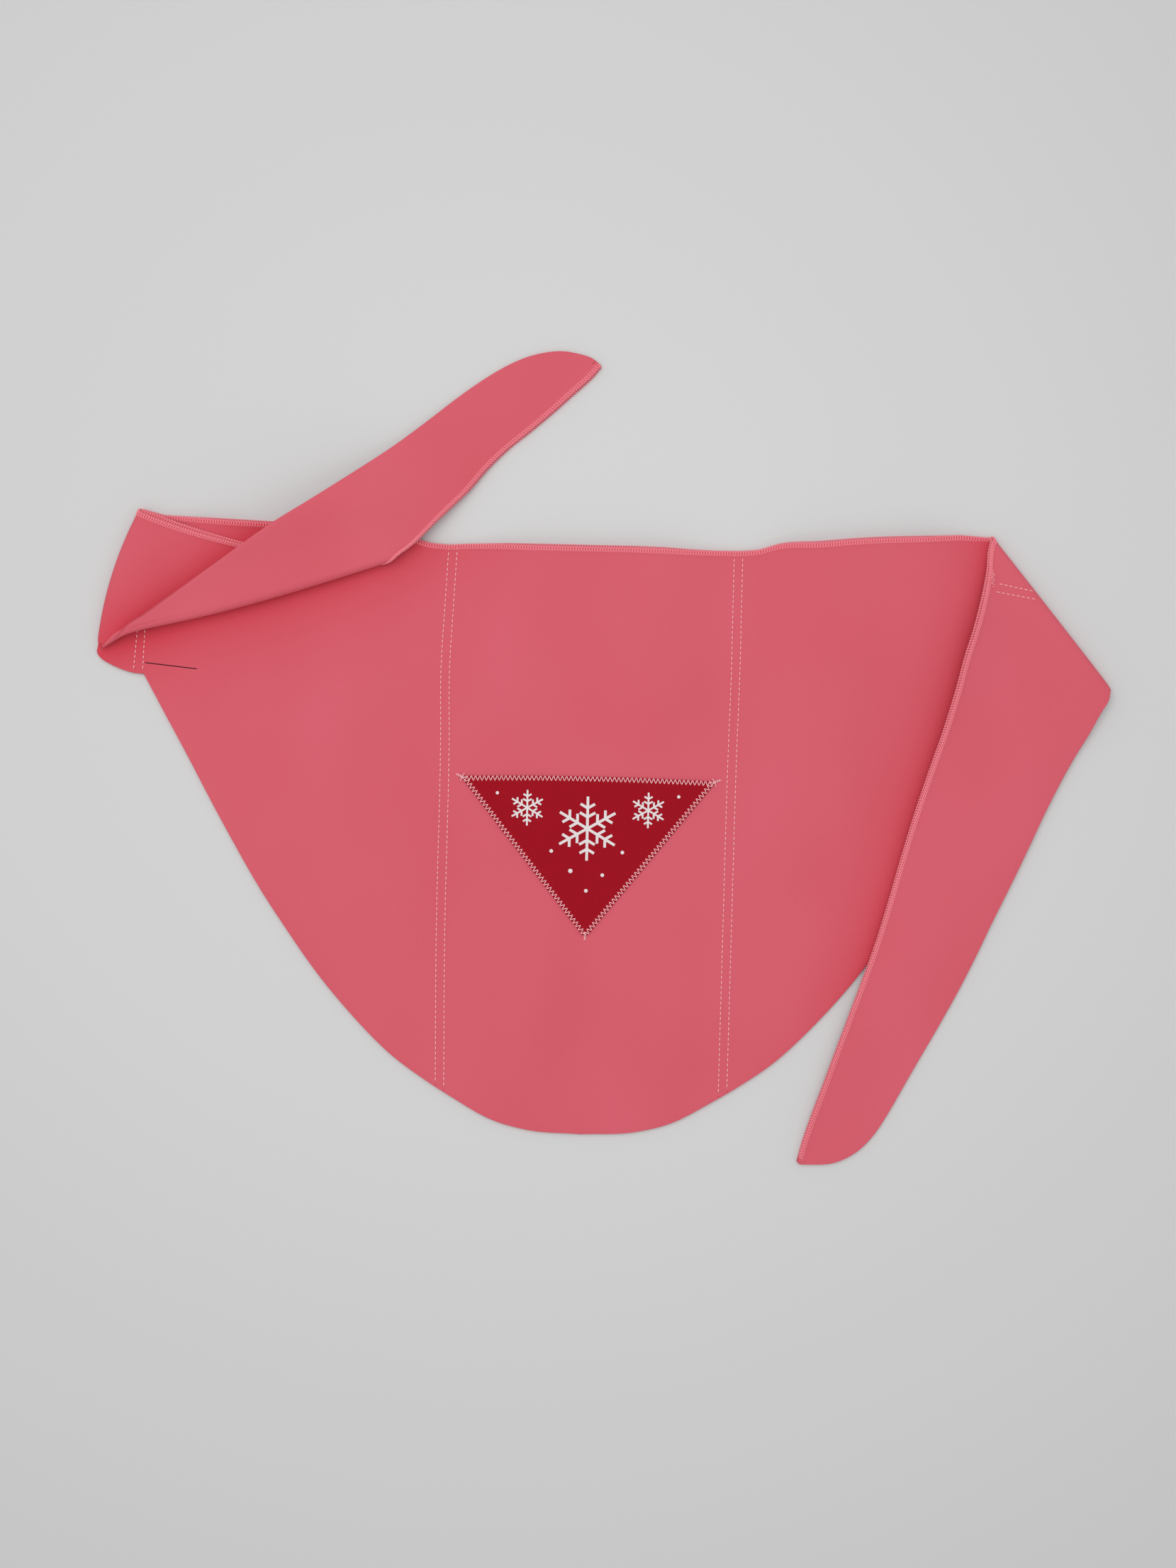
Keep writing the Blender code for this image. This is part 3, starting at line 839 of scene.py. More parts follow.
class Leg:
    """A stretch of the strip: its lines' ends, bow and heights, and how far each ply is drawn back.

    bow moves a line's middle. pull says how much a line follows the pull on the second fold.
    """

    def __init__(self, near, far, bow, height, pull=0.0, front_near=0.0, back_near=0.0, front_far=0.0):
        count = len(near)
        self.near, self.far, self.bow, self.height = near, far, bow, height
        self.pull = np.broadcast_to(pull, count)[:, None, None]
        self.drawn_back = {
            "front": (np.broadcast_to(front_near, count), np.broadcast_to(front_far, count)),
            "back": (np.broadcast_to(back_near, count), np.zeros(count)),
        }

    def shares(self, ply):
        """Shares down each line: set distances next to both edges, and even steps between them."""
        near_inset, far_inset = (inset[:, None] for inset in self.drawn_back[ply])
        length = np.linalg.norm(self.far - self.near, axis=1)[:, None]
        usable = np.maximum(length - near_inset - far_inset, USABLE_LEAST * length)
        squeeze = np.minimum(1, EDGE_ZONE_MOST * usable / EDGE_ZONE)
        near = near_inset + NEAR_ROWS * squeeze
        far = near_inset + usable - FAR_ROWS * squeeze
        steps = np.linspace(0, 1, BETWEEN_ROWS + 2)[1:-1]
        between = near[:, -1:] + (far[:, :1] - near[:, -1:]) * steps
        return np.concatenate((near, between, far), axis=1) / length

    def surface(self, ply):
        """Points of the middle surface under one ply, its shares, and distances from both edges."""
        share = self.shares(ply)
        straight = self.near[:, None] + share[..., None] * (self.far - self.near)[:, None]
        plan = straight + (4 * share * (1 - share))[..., None] * self.bow[:, None]
        plan = plan + self.pull * pulled(flat_points(plan)).reshape(plan.shape)
        length = np.linalg.norm(self.far - self.near, axis=1)[:, None]
        return drawn_in(self.height(plan, share)), share * length, (1 - share) * length


def flat_points(plan):
    return plan.reshape(-1, 2)


def layer_height(plan, share, height, extra):
    """Plan points with the height of a layer and something extra on top."""
    level = height(flat_points(plan)).reshape(plan.shape[:2]) + extra
    return np.dstack((plan, level))


def bend_leg(fold, low, high, angles, **drawn_back):
    """Half circle round a fold line: out by the radius times the sine, up by minus the cosine."""

    def height(plan, share):
        line = flat_points(plan)
        bottom = low(line).reshape(plan.shape[:2])
        top = high(line).reshape(plan.shape[:2])
        radius = (top - bottom) / 2
        out = plan + (radius * np.sin(angles)[:, None])[..., None] * fold.outward
        return np.dstack((out, (bottom + top) / 2 - radius * np.cos(angles)[:, None]))

    near = fold.low_near + np.outer(angles / math.pi, fold.near - fold.low_near)
    far = fold.low_far + np.outer(angles / math.pi, fold.far - fold.low_far)
    return Leg(near, far, np.tile(fold.bow, (len(angles), 1)), height, **drawn_back)


def left_tie_leg():
    at = np.linspace(LEFT_ROWS, 0, LEFT_TIE_STEPS + 1)[:-1]
    along = at / LEFT_ROWS
    near, far = left_second.tie_lines(left_tie_before, at, LEFT_ROWS)
    hover = SEAM_HOVER * fading(along, *SEAM_HOVER_FADE)

    def height(plan, share):
        extra = hover[:, None] * share * left_second.rise(plan)
        return layer_height(plan, share, second_layer, extra)

    lap = LAP * ease((1 - along) / LEFT_TIP_SHARE)
    pinch_lap = PINCH_LAP * fading(along, *PINCH_LAP_FADE)
    bow = np.outer(fading(along, *LEFT_BOW_FADE), left_second.bow)
    return Leg(near, far, bow, height, pull=1.0, front_near=lap, front_far=pinch_lap)


def flap_leg():
    turn = np.linspace(1, 0, FLAP_STEPS + 2)[1:-1, None]
    sag = np.array((0, -LEFT_EDGE_SAG)) * 4 * turn * (1 - turn)
    near = left_first.near + turn * (left_second.low_near - left_first.near) + sag
    far = left_first.far + turn * (left_second.low_far - left_first.far)
    bow = (1 - turn) * left_first.bow + turn * left_second.bow

    def height(plan, share):
        return layer_height(plan, share, lambda points: first_layer(points, left_first), 0)

    return Leg(near, far, bow, height, pull=1 - (1 - turn[:, 0]) ** 2, back_near=FLAP_LAP)


def pouch_lines():
    """Lines down the pouch: upright over the pockets, turning at both ends until they match the folds."""
    end_x = HALF_WIDTH - 2 * ROW_SPACING
    right_end_x = right_x - PRESSED_RUN / 2
    side = np.linspace(ROW_X, end_x, SIDE_STEPS + 1)[1:]
    middle = np.linspace(-ROW_X, ROW_X, MIDDLE_STEPS + 1)
    upright = np.concatenate((-side[::-1], middle, side[side < right_end_x]))
    mouth = np.column_stack((upright, mouth_y(upright)))
    hem = np.column_stack((upright, hem_y(upright)))
    ends = []
    right_kink = np.array((HALF_WIDTH, -TIE_ROOT_DEPTH))
    right_end = right_fold.low_far
    for fold, start_x, root in (
        (left_first, upright[0], np.concatenate((LEFT_ROOT * MM, [left_first.far]))),
        (right_fold, upright[-1], np.array((right_kink, (right_kink + right_end) / 2, right_end))),
    ):
        steps = max(2, round(abs(root[0, 0] - start_x) / HEM_STEP))
        run = np.linspace(start_x, root[0, 0], steps + 1)[1:]
        along_hem = np.column_stack((run, hem_y(run)))
        knots = distances_along(root)
        at = np.linspace(0, knots[-1], TURN_STEPS + 1)[1:-1]
        along_root = np.column_stack([through(at, knots, root[:, axis]) for axis in (0, 1)])
        low = np.concatenate((along_hem, along_root))
        share = (np.arange(1, len(low) + 1) / (len(low) + 1))[:, None]
        start = np.array((start_x, float(mouth_y(start_x))))
        ends.append((start + share * (fold.low_near - start), low, share**3 * fold.bow))
    (l_high, l_low, l_bow), (r_high, r_low, r_bow) = ends
    return (
        np.concatenate((l_high[::-1], mouth, r_high)),
        np.concatenate((l_low[::-1], hem, r_low)),
        np.concatenate((l_bow[::-1], np.zeros_like(mouth), r_bow)),
    )


def pouch_leg():
    near, far, bow = pouch_lines()
    loose = pocket_loft(near[:, 0], near[:, 1]) / POCKET_LOFT

    def height(plan, share):
        return np.dstack((plan, np.full(plan.shape[:2], MID_RISE)))

    return Leg(near, far, bow, height, front_near=MOUTH_SETBACK * loose)


def right_tie_leg():
    at = np.linspace(0, RIGHT_ROWS, RIGHT_TIE_STEPS + 1)[1:]
    near, far = right_fold.tie_lines(right_tie_edges, at, RIGHT_ROWS)
    along = at / RIGHT_ROWS
    hover = EDGE_HOVER * fading(along, *EDGE_HOVER_FADE)

    def height(plan, share):
        extra = hover[:, None] * (1 - share) ** 2 * right_fold.rise(plan)
        return layer_height(plan, share, lambda points: first_layer(points, right_fold), extra)

    lap = RIGHT_LAP * (1 - RIGHT_LAP_LOSS * ease(along)) * ease((1 - along) / RIGHT_TIP_SHARE)
    bow = np.outer(fading(along, *RIGHT_BOW_FADE), right_fold.bow)
    return Leg(near, far, bow, height, back_near=lap)


def on_table(points):
    return np.full(len(points), MID_RISE)


upper = np.linspace(math.pi, 0, BEND_STEPS + 1)
swing = (1 - np.cos(upper)) / 2
LEGS = {
    "left_tie": left_tie_leg(),
    "left_second_bend": bend_leg(
        left_second,
        lambda points: first_layer(points, left_first),
        second_layer,
        upper,
        pull=1.0,
        front_near=LAP * swing,
        back_near=FLAP_LAP * (1 - swing),
        front_far=PINCH_LAP * swing,
    ),
    "left_flap": flap_leg(),
    "left_first_bend": bend_leg(
        left_first,
        on_table,
        lambda points: first_layer(points, left_first),
        upper,
        back_near=FLAP_LAP * swing,
    ),
    "pouch": pouch_leg(),
    "right_bend": bend_leg(
        right_fold,
        on_table,
        lambda points: first_layer(points, right_fold),
        upper[::-1],
        back_near=RIGHT_LAP * swing[::-1],
    ),
    "right_tie": right_tie_leg(),
}
for name, leg in LEGS.items():
    print("Leg", name, "has", len(leg.near), "lines")

# %% [markdown]
# ## The two plies
#
# A ply is the middle surface moved along its own normal, to the front or to the back. At the pouch the
# front ply also stands off by the pocket's loft and its ripples. Towards the sewn edge the plies close up
# until they touch, as a turned seam does, and at the overlocked edge they part a little, because the
# threads need room.

# %% Ply surfaces


def strip(ply):
    """The whole middle surface under one ply, with distances from its overlocked and its seamed edge."""
    parts = [leg.surface(ply) for leg in LEGS.values()]
    return [np.concatenate([part[index] for part in parts]) for index in range(3)]


def pouch_rows(count):
    """1 for the lines of the pouch leg and 0 for all others."""
    flags = [np.full(len(leg.near), float(name == "pouch")) for name, leg in LEGS.items()]
    return np.concatenate(flags)[:, None]


def normals(grid):
    """Unit normals: the slope down the lines crossed with the slope along the strip."""
    return unit(np.cross(np.gradient(grid, axis=1), np.gradient(grid, axis=0)))


class Ply:
    """One cut of cloth: its middle surface, normals, and distances along it and from its edges."""

    def __init__(self, name, side):
        self.name = name
        middle, near_gap, far_gap = strip(name)
        near_gap = near_gap - near_gap[:, :1]
        far_gap = far_gap - far_gap[:, -1:]
        x, y = middle[..., 0], middle[..., 1]
        edge = fading(near_gap, 0, EDGE_THREAD_RUN)
        middle = middle + np.dstack((0 * x, 0 * x, EDGE_THREAD_LIFT * edge))
        room = PLY_ROOM + EDGE_THREAD_ROOM / 2 * edge
        room = CLOSED_ROOM + (room - CLOSED_ROOM) * ease(far_gap / SEAM_RUN)
        if side > 0:
            room = room + stand_off(x, y, far_gap) * pouch_rows(len(x))
        self.grid = middle + (side * room)[..., None] * normals(middle)
        self.normal = normals(self.grid)
        self.along = distances_along(self.grid[:, len(NEAR_ROWS)])
        self.near_gap = near_gap
        self.far_gap = far_gap
        self.in_pouch = pouch_rows(len(x))[:, 0] > 0

    def area(self):
        """Cut area: each small cell's two diagonals crossed, halved and summed."""
        first = self.grid[1:, 1:] - self.grid[:-1, :-1]
        second = self.grid[:-1, 1:] - self.grid[1:, :-1]
        return float(np.linalg.norm(np.cross(first, second), axis=2).sum() / 2)


front = Ply("front", 1)
back = Ply("back", -1)
for ply in (front, back):
    lines, points = ply.grid.shape[:2]
    print(ply.name, "ply:", lines, "by", points, "points, area", round(ply.area(), 4), "m2")

# %% [markdown]
# The surface becomes a mesh of four-sided cells, and a Solidify modifier gives it the cloth's thickness
# and closes its rim. Each point also keeps two notes for the material: how far it is from the nearest
# pair of stitch rows, and how near it is to a layer that hangs over it, which sets a painted shade. Light
# gets in beside such a layer only after touching red cloth several times, so that shade is painted as a
# deeper red in the cloth's colour.

# %% From surface to cloth
END_ROW_X = (-HALF_WIDTH - 2.4 * MM, HALF_WIDTH + 2.4 * MM)
UNDER_LEGS = ("left_flap", "left_first_bend", "pouch")
OUTLINE_STEPS = 24
# How far the painted shade beside each tie reaches.
LEFT_PAINTED_SHADE_RUN = 16 * MM
RIGHT_PAINTED_SHADE_RUN = 13 * MM


def cells(rows, columns):
    """Corner numbers of all cells of a grid of points."""
    corner = np.arange(rows * columns).reshape(rows, columns)
    quads = np.stack((corner[:-1, :-1], corner[1:, :-1], corner[1:, 1:], corner[:-1, 1:]), axis=2)
    return quads.reshape(-1, 4)


def mesh_piece(name, points, faces):
    """A smooth mesh object from an array of points in the pattern's place, moved to the model's place."""
    mesh = bpy.data.meshes.new(name)
    mesh.from_pydata((points + MOVE).tolist(), [], faces)
    mesh.shade_smooth()
    return link(bpy.data.objects.new(name, mesh))


def note(piece, name, values):
    """A point attribute of three numbers."""
    attribute = piece.data.attributes.new(name, "FLOAT_VECTOR", "POINT")
    attribute.data.foreach_set("vector", np.ascontiguousarray(values, dtype=np.float32).ravel())


def seam_note(ply):
    """Distance to the nearest pair of rows, distance down from the mouth, and 1 in the pouch."""
    x, y = ply.grid[..., 0], ply.grid[..., 1]
    share = np.clip(depth_share(x, y), 0, 1)
    inner = [x - seam_x(side, share) for side in (-1, 1)]
    gap = np.abs(np.array(inner + [x - end for end in END_ROW_X])).min(axis=0)
    in_pouch = np.broadcast_to(ply.in_pouch[:, None], x.shape).astype(float)
    gap = gap * in_pouch + 1 - in_pouch
    return np.dstack((gap, mouth_y(x) - y, in_pouch)).reshape(-1, 3)


def tie_outline(edges, rows):
    """Outline of a folded tie from above: down one edge and back along the other."""
    near, far = edges(np.linspace(0, rows, OUTLINE_STEPS))
    return np.concatenate((near, far[::-1]))


def painted_shade_note(ply):
    """Painted shade: 1 beside an overhanging tie, fading by the exponential of the distance from it; 0 on
    the ties.
    """
    legs = [np.full(len(leg.near), name in UNDER_LEGS) for name, leg in LEGS.items()]
    under = np.concatenate(legs)
    painted_shade = np.zeros(ply.near_gap.shape)
    points = ply.grid[under, :, :2].reshape(-1, 2)
    for edges, rows, run in (
        (left_tie_edges, LEFT_ROWS, LEFT_PAINTED_SHADE_RUN),
        (right_tie_edges, RIGHT_ROWS, RIGHT_PAINTED_SHADE_RUN),
    ):
        beside = np.exp(-outside_distance(points, tie_outline(edges, rows)) / run)
        painted_shade[under] = np.maximum(painted_shade[under], beside.reshape(painted_shade[under].shape))
    return np.repeat(painted_shade.reshape(-1, 1), 3, axis=1)


def sheet_piece(name, grid):
    """A grid of points as a mesh, which a Solidify modifier makes as thick as the cloth."""
    quads = cells(*grid.shape[:2])[:, ::-1]
    piece = mesh_piece(name, grid.reshape(-1, 3), quads.tolist())
    wall = piece.modifiers.new("thickness", "SOLIDIFY")
    wall.thickness = CLOTH
    wall.offset = 0
    return piece


front_cloth = sheet_piece("front_cloth", front.grid)
back_cloth = sheet_piece("back_cloth", back.grid)
for piece, ply in ((front_cloth, front), (back_cloth, back)):
    note(piece, "seam", seam_note(ply))
    note(piece, "painted_shade", painted_shade_note(ply))
    print(piece.name, len(piece.data.polygons), "cells")

# %% [markdown]
# ## The patch
#
# A crimson triangle is sewn on the middle pocket with a zigzag stitch. Its top edge bows up very
# slightly. It is another sheet of cloth, so it follows the front ply's own heights with a small gap, and
# cannot sink in.

# %% Patch
PATCH_STEPS = (96, 64)
PATCH_TIP_WIDTH = 3 * MM
PATCH_REST = 0.15 * MM


def front_top(x, y):
    """Height of the upper face of the pouch's front ply."""
    return MID_RISE + PLY_ROOM + CLOTH / 2 + stand_off(x, y, y - hem_y(x))


def patch_place(across, down):
    """Place on the patch: across from -1 to 1 over a half width that shrinks evenly on the way down."""
    half_width = PATCH_WIDTH / 2 * (1 - down) + PATCH_TIP_WIDTH / 2 * down
    x = half_width * across
    y = PATCH_TOP_BOW * (1 - down) * (1 - across**2) - PATCH_DROP - PATCH_HEIGHT * down
    return x, y


patch_across, patch_down = np.meshgrid(
    np.linspace(-1, 1, PATCH_STEPS[0] + 1), np.linspace(0, 1, PATCH_STEPS[1] + 1), indexing="ij"
)
patch_x, patch_y = patch_place(patch_across, patch_down)
patch_z = front_top(patch_x, patch_y) + PATCH_REST + CLOTH / 2
patch_cloth = sheet_piece("patch_cloth", np.dstack((patch_x, patch_y, patch_z)))
print("Patch heights in mm:", round(patch_z.min() / MM, 2), "to", round(patch_z.max() / MM, 2))

# %% [markdown]
# ## Thread
#
# All stitches here are thin round tubes along a path. A picture of stitches printed on the cloth would be
# cheaper, but it would stay flat at a low angle, and thread is what catches the light first. One function
# makes any number of equal tubes at once.

# %% Tubes along paths


def tubes(name, paths, radius, beside, sides=6):
    """Round closed tubes: rings square to each path, turned by its direction crossed with beside."""
    count, length = paths.shape[:2]
    forward = unit(np.gradient(paths, axis=1))
    first = unit(np.cross(forward, beside))
    second = np.cross(forward, first)
    angle = np.arange(sides) * (2 * math.pi / sides)
    wide = np.broadcast_to(radius, (length,))[None, :, None, None]
    ring = np.cos(angle)[:, None] * first[:, :, None] + np.sin(angle)[:, None] * second[:, :, None]
    points = paths[:, :, None] + wide * ring
    number = np.arange(count * length * sides).reshape(count, length, sides)
    turned = np.roll(number, -1, axis=2)
    quads = np.stack((number[:, :-1], turned[:, :-1], turned[:, 1:], number[:, 1:]), axis=-1)
    faces = quads.reshape(-1, 4).tolist()
    faces += number[:, 0, ::-1].tolist()
    faces += number[:, -1].tolist()
    return mesh_piece(name, points.reshape(-1, 3), faces)


def between_lines(values, at):
    """Values of the strip's lines at places between them."""
    low = np.clip(at.astype(int), 0, len(values) - 2)
    part = (at - low)[:, None]
    return values[low] * (1 - part) + values[low + 1] * part


print("Tube maker ready")

# %% [markdown]
# ### Overlock
#
# Every open edge is overlocked: threads run from a needle line round the raw edge and back underneath.
# The machine makes about one stitch every 1.5 mm. Flattened screws of both hands wind round the edge
# here, two of each, and one turn of a screw takes two stitches. So on both faces slanted strokes cross in
# the middle of the band and leave two rows of small gaps, as on the real thing.

# %% Overlock thread
OVERLOCK_PITCH = 1.5 * MM
OVERLOCK_BAND = 2.9 * MM
OVERLOCK_OVER = 0.3 * MM
OVERLOCK_RADIUS = 0.2 * MM
OVERLOCK_STAND = 0.75
TURN_POINTS = 8
# Points of a line that give the directions from the edge inwards and out of the cloth.
INNER_POINT = 4
STEADY_POINT = 2


def overlock(name, ply, hand):
    """A flattened screw round the edge: in and out by a cosine, over and under by a squared-off sine."""
    edge_length = distances_along(ply.grid[:, 0])
    turns = int(edge_length[-1] / (2 * OVERLOCK_PITCH)) - 1
    turn = np.arange(turns * TURN_POINTS + 1) / TURN_POINTS
    angle = hand * 2 * math.pi * turn + math.pi * (hand < 0)
    across = (OVERLOCK_BAND - OVERLOCK_OVER) / 2 + (OVERLOCK_BAND + OVERLOCK_OVER) / 2 * np.cos(angle)
    wave = np.sin(angle)
    height = (CLOTH / 2 + OVERLOCK_STAND * OVERLOCK_RADIUS) * np.sign(wave) * np.sqrt(np.abs(wave))
    paths = []
    for start in (0.0, 0.5):
        at = np.interp((turn + start) * 2 * OVERLOCK_PITCH, edge_length, np.arange(len(edge_length)))
        edge = between_lines(ply.grid[:, 0], at)
        inward = unit(between_lines(ply.grid[:, INNER_POINT] - ply.grid[:, 0], at))
        above = unit(between_lines(ply.normal[:, STEADY_POINT], at))
        paths.append(edge + across[:, None] * inward + height[:, None] * above)
    beside = unit(np.gradient(edge, axis=0))
    return tubes(name, np.array(paths), OVERLOCK_RADIUS, beside, sides=5)


overlocks = {
    "front": [overlock("front_overlock_a", front, 1), overlock("front_overlock_b", front, -1)],
    "back": [overlock("back_overlock_a", back, 1), overlock("back_overlock_b", back, -1)],
}
print("Overlock pieces:", [piece.name for pair in overlocks.values() for piece in pair])

# %% [markdown]
# ### Lockstitch
#
# Twin rows of plain stitches part the pockets, and two more rows close the pouch at each end. Each stitch
# shows as a short dash that dips into its needle holes. The dashes of the inner rows are put on the
# front, and again on the back, where the bobbin thread shows. Of the right end's rows only the part on
# the folded tie is in sight. Where they start, the machine's reverse has left a small tangle at the tie's
# edge.

# %% Lockstitch rows
STITCH_PITCH = 2.9 * MM
STITCH_RADIUS = 0.27 * MM
DASH_PLACES = np.linspace(0.14, 0.80, 5)
DASH_RISE = np.array((-0.08, 0.16, 0.24, 0.16, -0.08)) * MM
DASH_TAPER = np.array((0.45, 1, 1, 1, 0.45))
ROW_START = 1.0 * MM
ROW_MARGIN = 2.5 * MM
BOBBIN_SINK = 0.3 * MM
# Ends of the rows at both ends of the pouch, in millimetres.
LEFT_END_ROWS = ((-253.3, -15.0, -257.5, -76.2), (-250.6, -15.0, -252.4, -78.5))
RIGHT_END_ROWS = ((228.8, -16.2, 249.9, -20.3), (227.3, -20.8, 250.8, -24.7))


def dash_depths(length):
    """Distances along a row for the five points of each dash."""
    number = np.arange(int(length / STITCH_PITCH))
    return (number[:, None] + DASH_PLACES) * STITCH_PITCH


def inner_rows():
    """Plan places of all dashes on the four inner rows."""
    rows = []
    for side in (-1, 1):
        for twin in (-ROW_SPACING / 2, ROW_SPACING / 2):
            start_x = side * ROW_X + twin
            depth = float(mouth_y(start_x) - hem_y(start_x))
            down = dash_depths(depth - ROW_MARGIN) + ROW_START
            x = seam_x(side, down / depth) + twin
            rows.append(np.dstack((x, mouth_y(x) - down)))
    return np.concatenate(rows)


def straight_rows(ends):
    """Plan places of the dashes on straight rows, whose ends are given in millimetres."""
    rows = []
    for x0, y0, x1, y1 in np.array(ends) * MM:
        length = math.hypot(x1 - x0, y1 - y0)
        share = dash_depths(length) / length
        rows.append(np.dstack((x0 + share * (x1 - x0), y0 + share * (y1 - y0))))
    return np.concatenate(rows)


def leg_lines(name):
    """The numbers of the lines that belong to one leg."""
    start = 0
    for leg_name, leg in LEGS.items():
        if leg_name == name:
            return slice(start, start + len(leg.near))
        start += len(leg.near)
    return slice(0, 0)


def height_near(ply, leg_name, plan):
    """Height of a ply at plan places: that of its nearest point, moved along the plane through it."""
    points = ply.grid[leg_lines(leg_name)].reshape(-1, 3)
    normal = ply.normal[leg_lines(leg_name)].reshape(-1, 3)
    flat = plan.reshape(-1, 2)
    nearest = ((flat[:, None] - points[None, :, :2]) ** 2).sum(axis=2).argmin(axis=1)
    gap = flat - points[nearest, :2]
    slope = -(normal[nearest, :2] * gap).sum(axis=1) / normal[nearest, 2]
    return (points[nearest, 2] + slope).reshape(plan.shape[:2])


def dashes(name, plan, height, side):
    """Dashes at plan places on a face, which bulge up for side 1 and down for side -1."""
    paths = np.dstack((plan, height + side * DASH_RISE))
    return tubes(name, paths, STITCH_RADIUS * DASH_TAPER, (0.0, 0.0, 1.0))


def on_right_tie(plan):
    """Plan places as the picture shows them, drawn in to where they lie on the tie, and their heights."""
    height = height_near(back, "right_tie", plan)
    drawn = drawn_in(np.dstack((plan, height)))[..., :2]
    return drawn, height_near(back, "right_tie", drawn) + CLOTH / 2


inner = inner_rows()
left_end = straight_rows(LEFT_END_ROWS)
right_end = straight_rows(RIGHT_END_ROWS)
pouch_places = np.concatenate((inner, left_end))
pouch_height = front_top(pouch_places[..., 0], pouch_places[..., 1])
front_stitches = dashes("front_stitches", pouch_places, pouch_height, 1)
back_face = MID_RISE - PLY_ROOM - CLOTH / 2
back_stitches = dashes("back_stitches", inner, np.full(inner.shape[:2], back_face + BOBBIN_SINK), -1)
tie_places, tie_height = on_right_tie(right_end)
tie_stitches = dashes("tie_stitches", tie_places, tie_height, 1)
print("Dashes on the front:", len(pouch_places), "and on the right tie:", len(right_end))

# %% Thread tangle
TANGLE_PLACE = (225.3 * MM, -9.2 * MM)
TANGLE_LENGTH = 8.5 * MM
TANGLE_TURNS = 9
TANGLE_SIZE = 1.0 * MM
TANGLE_RISE = 0.5 * MM
# A slower sway and a quicker rise and fall, in radians for each turn, make the loops uneven.
TANGLE_SWAY = 4.3
TANGLE_BOUNCE = 7.0

turn = np.linspace(0, TANGLE_TURNS, TANGLE_TURNS * 10)
loop = 2 * np.pi * turn
tangle_x = TANGLE_PLACE[0] + TANGLE_SIZE * (np.cos(loop) + 0.45 * np.sin(TANGLE_SWAY * turn))
tangle_y = TANGLE_PLACE[1] - TANGLE_LENGTH * turn / TANGLE_TURNS + 0.5 * TANGLE_SIZE * np.sin(loop)
tangle_plan, tangle_height = on_right_tie(np.dstack((tangle_x, tangle_y)))
tangle_rise = TANGLE_RISE * (1 + 0.5 * np.sin(TANGLE_BOUNCE * turn))
tangle_path = np.dstack((tangle_plan, tangle_height + tangle_rise))
tangle = tubes("thread_tangle", tangle_path, OVERLOCK_RADIUS, (0.0, 1.0, 0.0))
print("Tangle of", TANGLE_TURNS, "loops,", round(TANGLE_LENGTH / MM, 1), "mm long")

# %% [markdown]
# ### Zigzag round the patch
#
# The patch is held by a zigzag whose outer points pierce the pocket just outside the edge. A round of
# straight rods would look stiff, so each stroke arches over the edge and dips at both ends. At each
# corner a few tight strokes run on outwards and fasten the thread.

# %% Zigzag thread
ZIGZAG_PITCH = 2.45 * MM
ZIGZAG_IN = 2.8 * MM
ZIGZAG_OUT = 0.3 * MM
ZIGZAG_RADIUS = 0.25 * MM
STROKE_POINTS = 6
ARCH = 1.1 * ZIGZAG_RADIUS
STROKE_SINK = 0.4 * ZIGZAG_RADIUS
TACK_STAND = 0.3 * ZIGZAG_RADIUS
TACK_STROKES = 7
TACK_LENGTH = 4.2 * MM
TACK_WIDTH = 2.2 * MM
TACK_INSIDE = 0.35
# How a stroke climbs from the pocket onto the patch: start and run of the step.
CLIMB = (-0.15 * MM, 0.35 * MM)
TACK_CLIMB = 0.4 * MM


def patch_side(start, end, bowed):
    """Zigzag path along one side of the patch: in and out by a triangle wave, up and down by an arch."""
    span = end - start
    length = float(np.linalg.norm(span))
    strokes = 2 * max(1, round(length / ZIGZAG_PITCH))
    step = np.arange(strokes * STROKE_POINTS + 1)
    share = step / step[-1]
    stroke = step / STROKE_POINTS
    inward = unit(np.array((span[1], -span[0])))
    swing = np.abs((stroke % 2) - 1)
    edge = start + share[:, None] * span
    edge = edge + bowed * (4 * share * (1 - share))[:, None] * np.array((0.0, PATCH_TOP_BOW))
    offset = swing * (ZIGZAG_IN + ZIGZAG_OUT) - ZIGZAG_OUT
    plan = edge + offset[:, None] * inward
    top = front_top(plan[:, 0], plan[:, 1])
    on_patch = ease((offset - CLIMB[0]) / CLIMB[1]) * (PATCH_REST + CLOTH)
    height = top + on_patch + ARCH * np.sin(math.pi * (stroke % 1)) - STROKE_SINK
    return np.column_stack((plan, height))


def tack(corner, outward, name):
    """A few tight strokes that fasten the zigzag outside a corner: a narrow zigzag running outwards."""
    step = np.arange(TACK_STROKES * STROKE_POINTS + 1)
    stroke = step / STROKE_POINTS
    swing = np.abs((stroke % 2) - 1) * 2 - 1
    aside = np.array((-outward[1], outward[0]))
    run = (stroke / TACK_STROKES - TACK_INSIDE) * TACK_LENGTH
    half_width = TACK_WIDTH / 2 * (1 - 0.5 * stroke / TACK_STROKES)
    plan = corner + np.outer(run, outward) + np.outer(swing * half_width, aside)
    height = front_top(plan[:, 0], plan[:, 1]) + (PATCH_REST + CLOTH) * ease(0.5 - run / TACK_CLIMB)
    path = np.column_stack((plan, height + ARCH * np.sin(math.pi * (stroke % 1)) + TACK_STAND))
    return tubes(name, path[None], ZIGZAG_RADIUS, np.append(outward, 0.0))


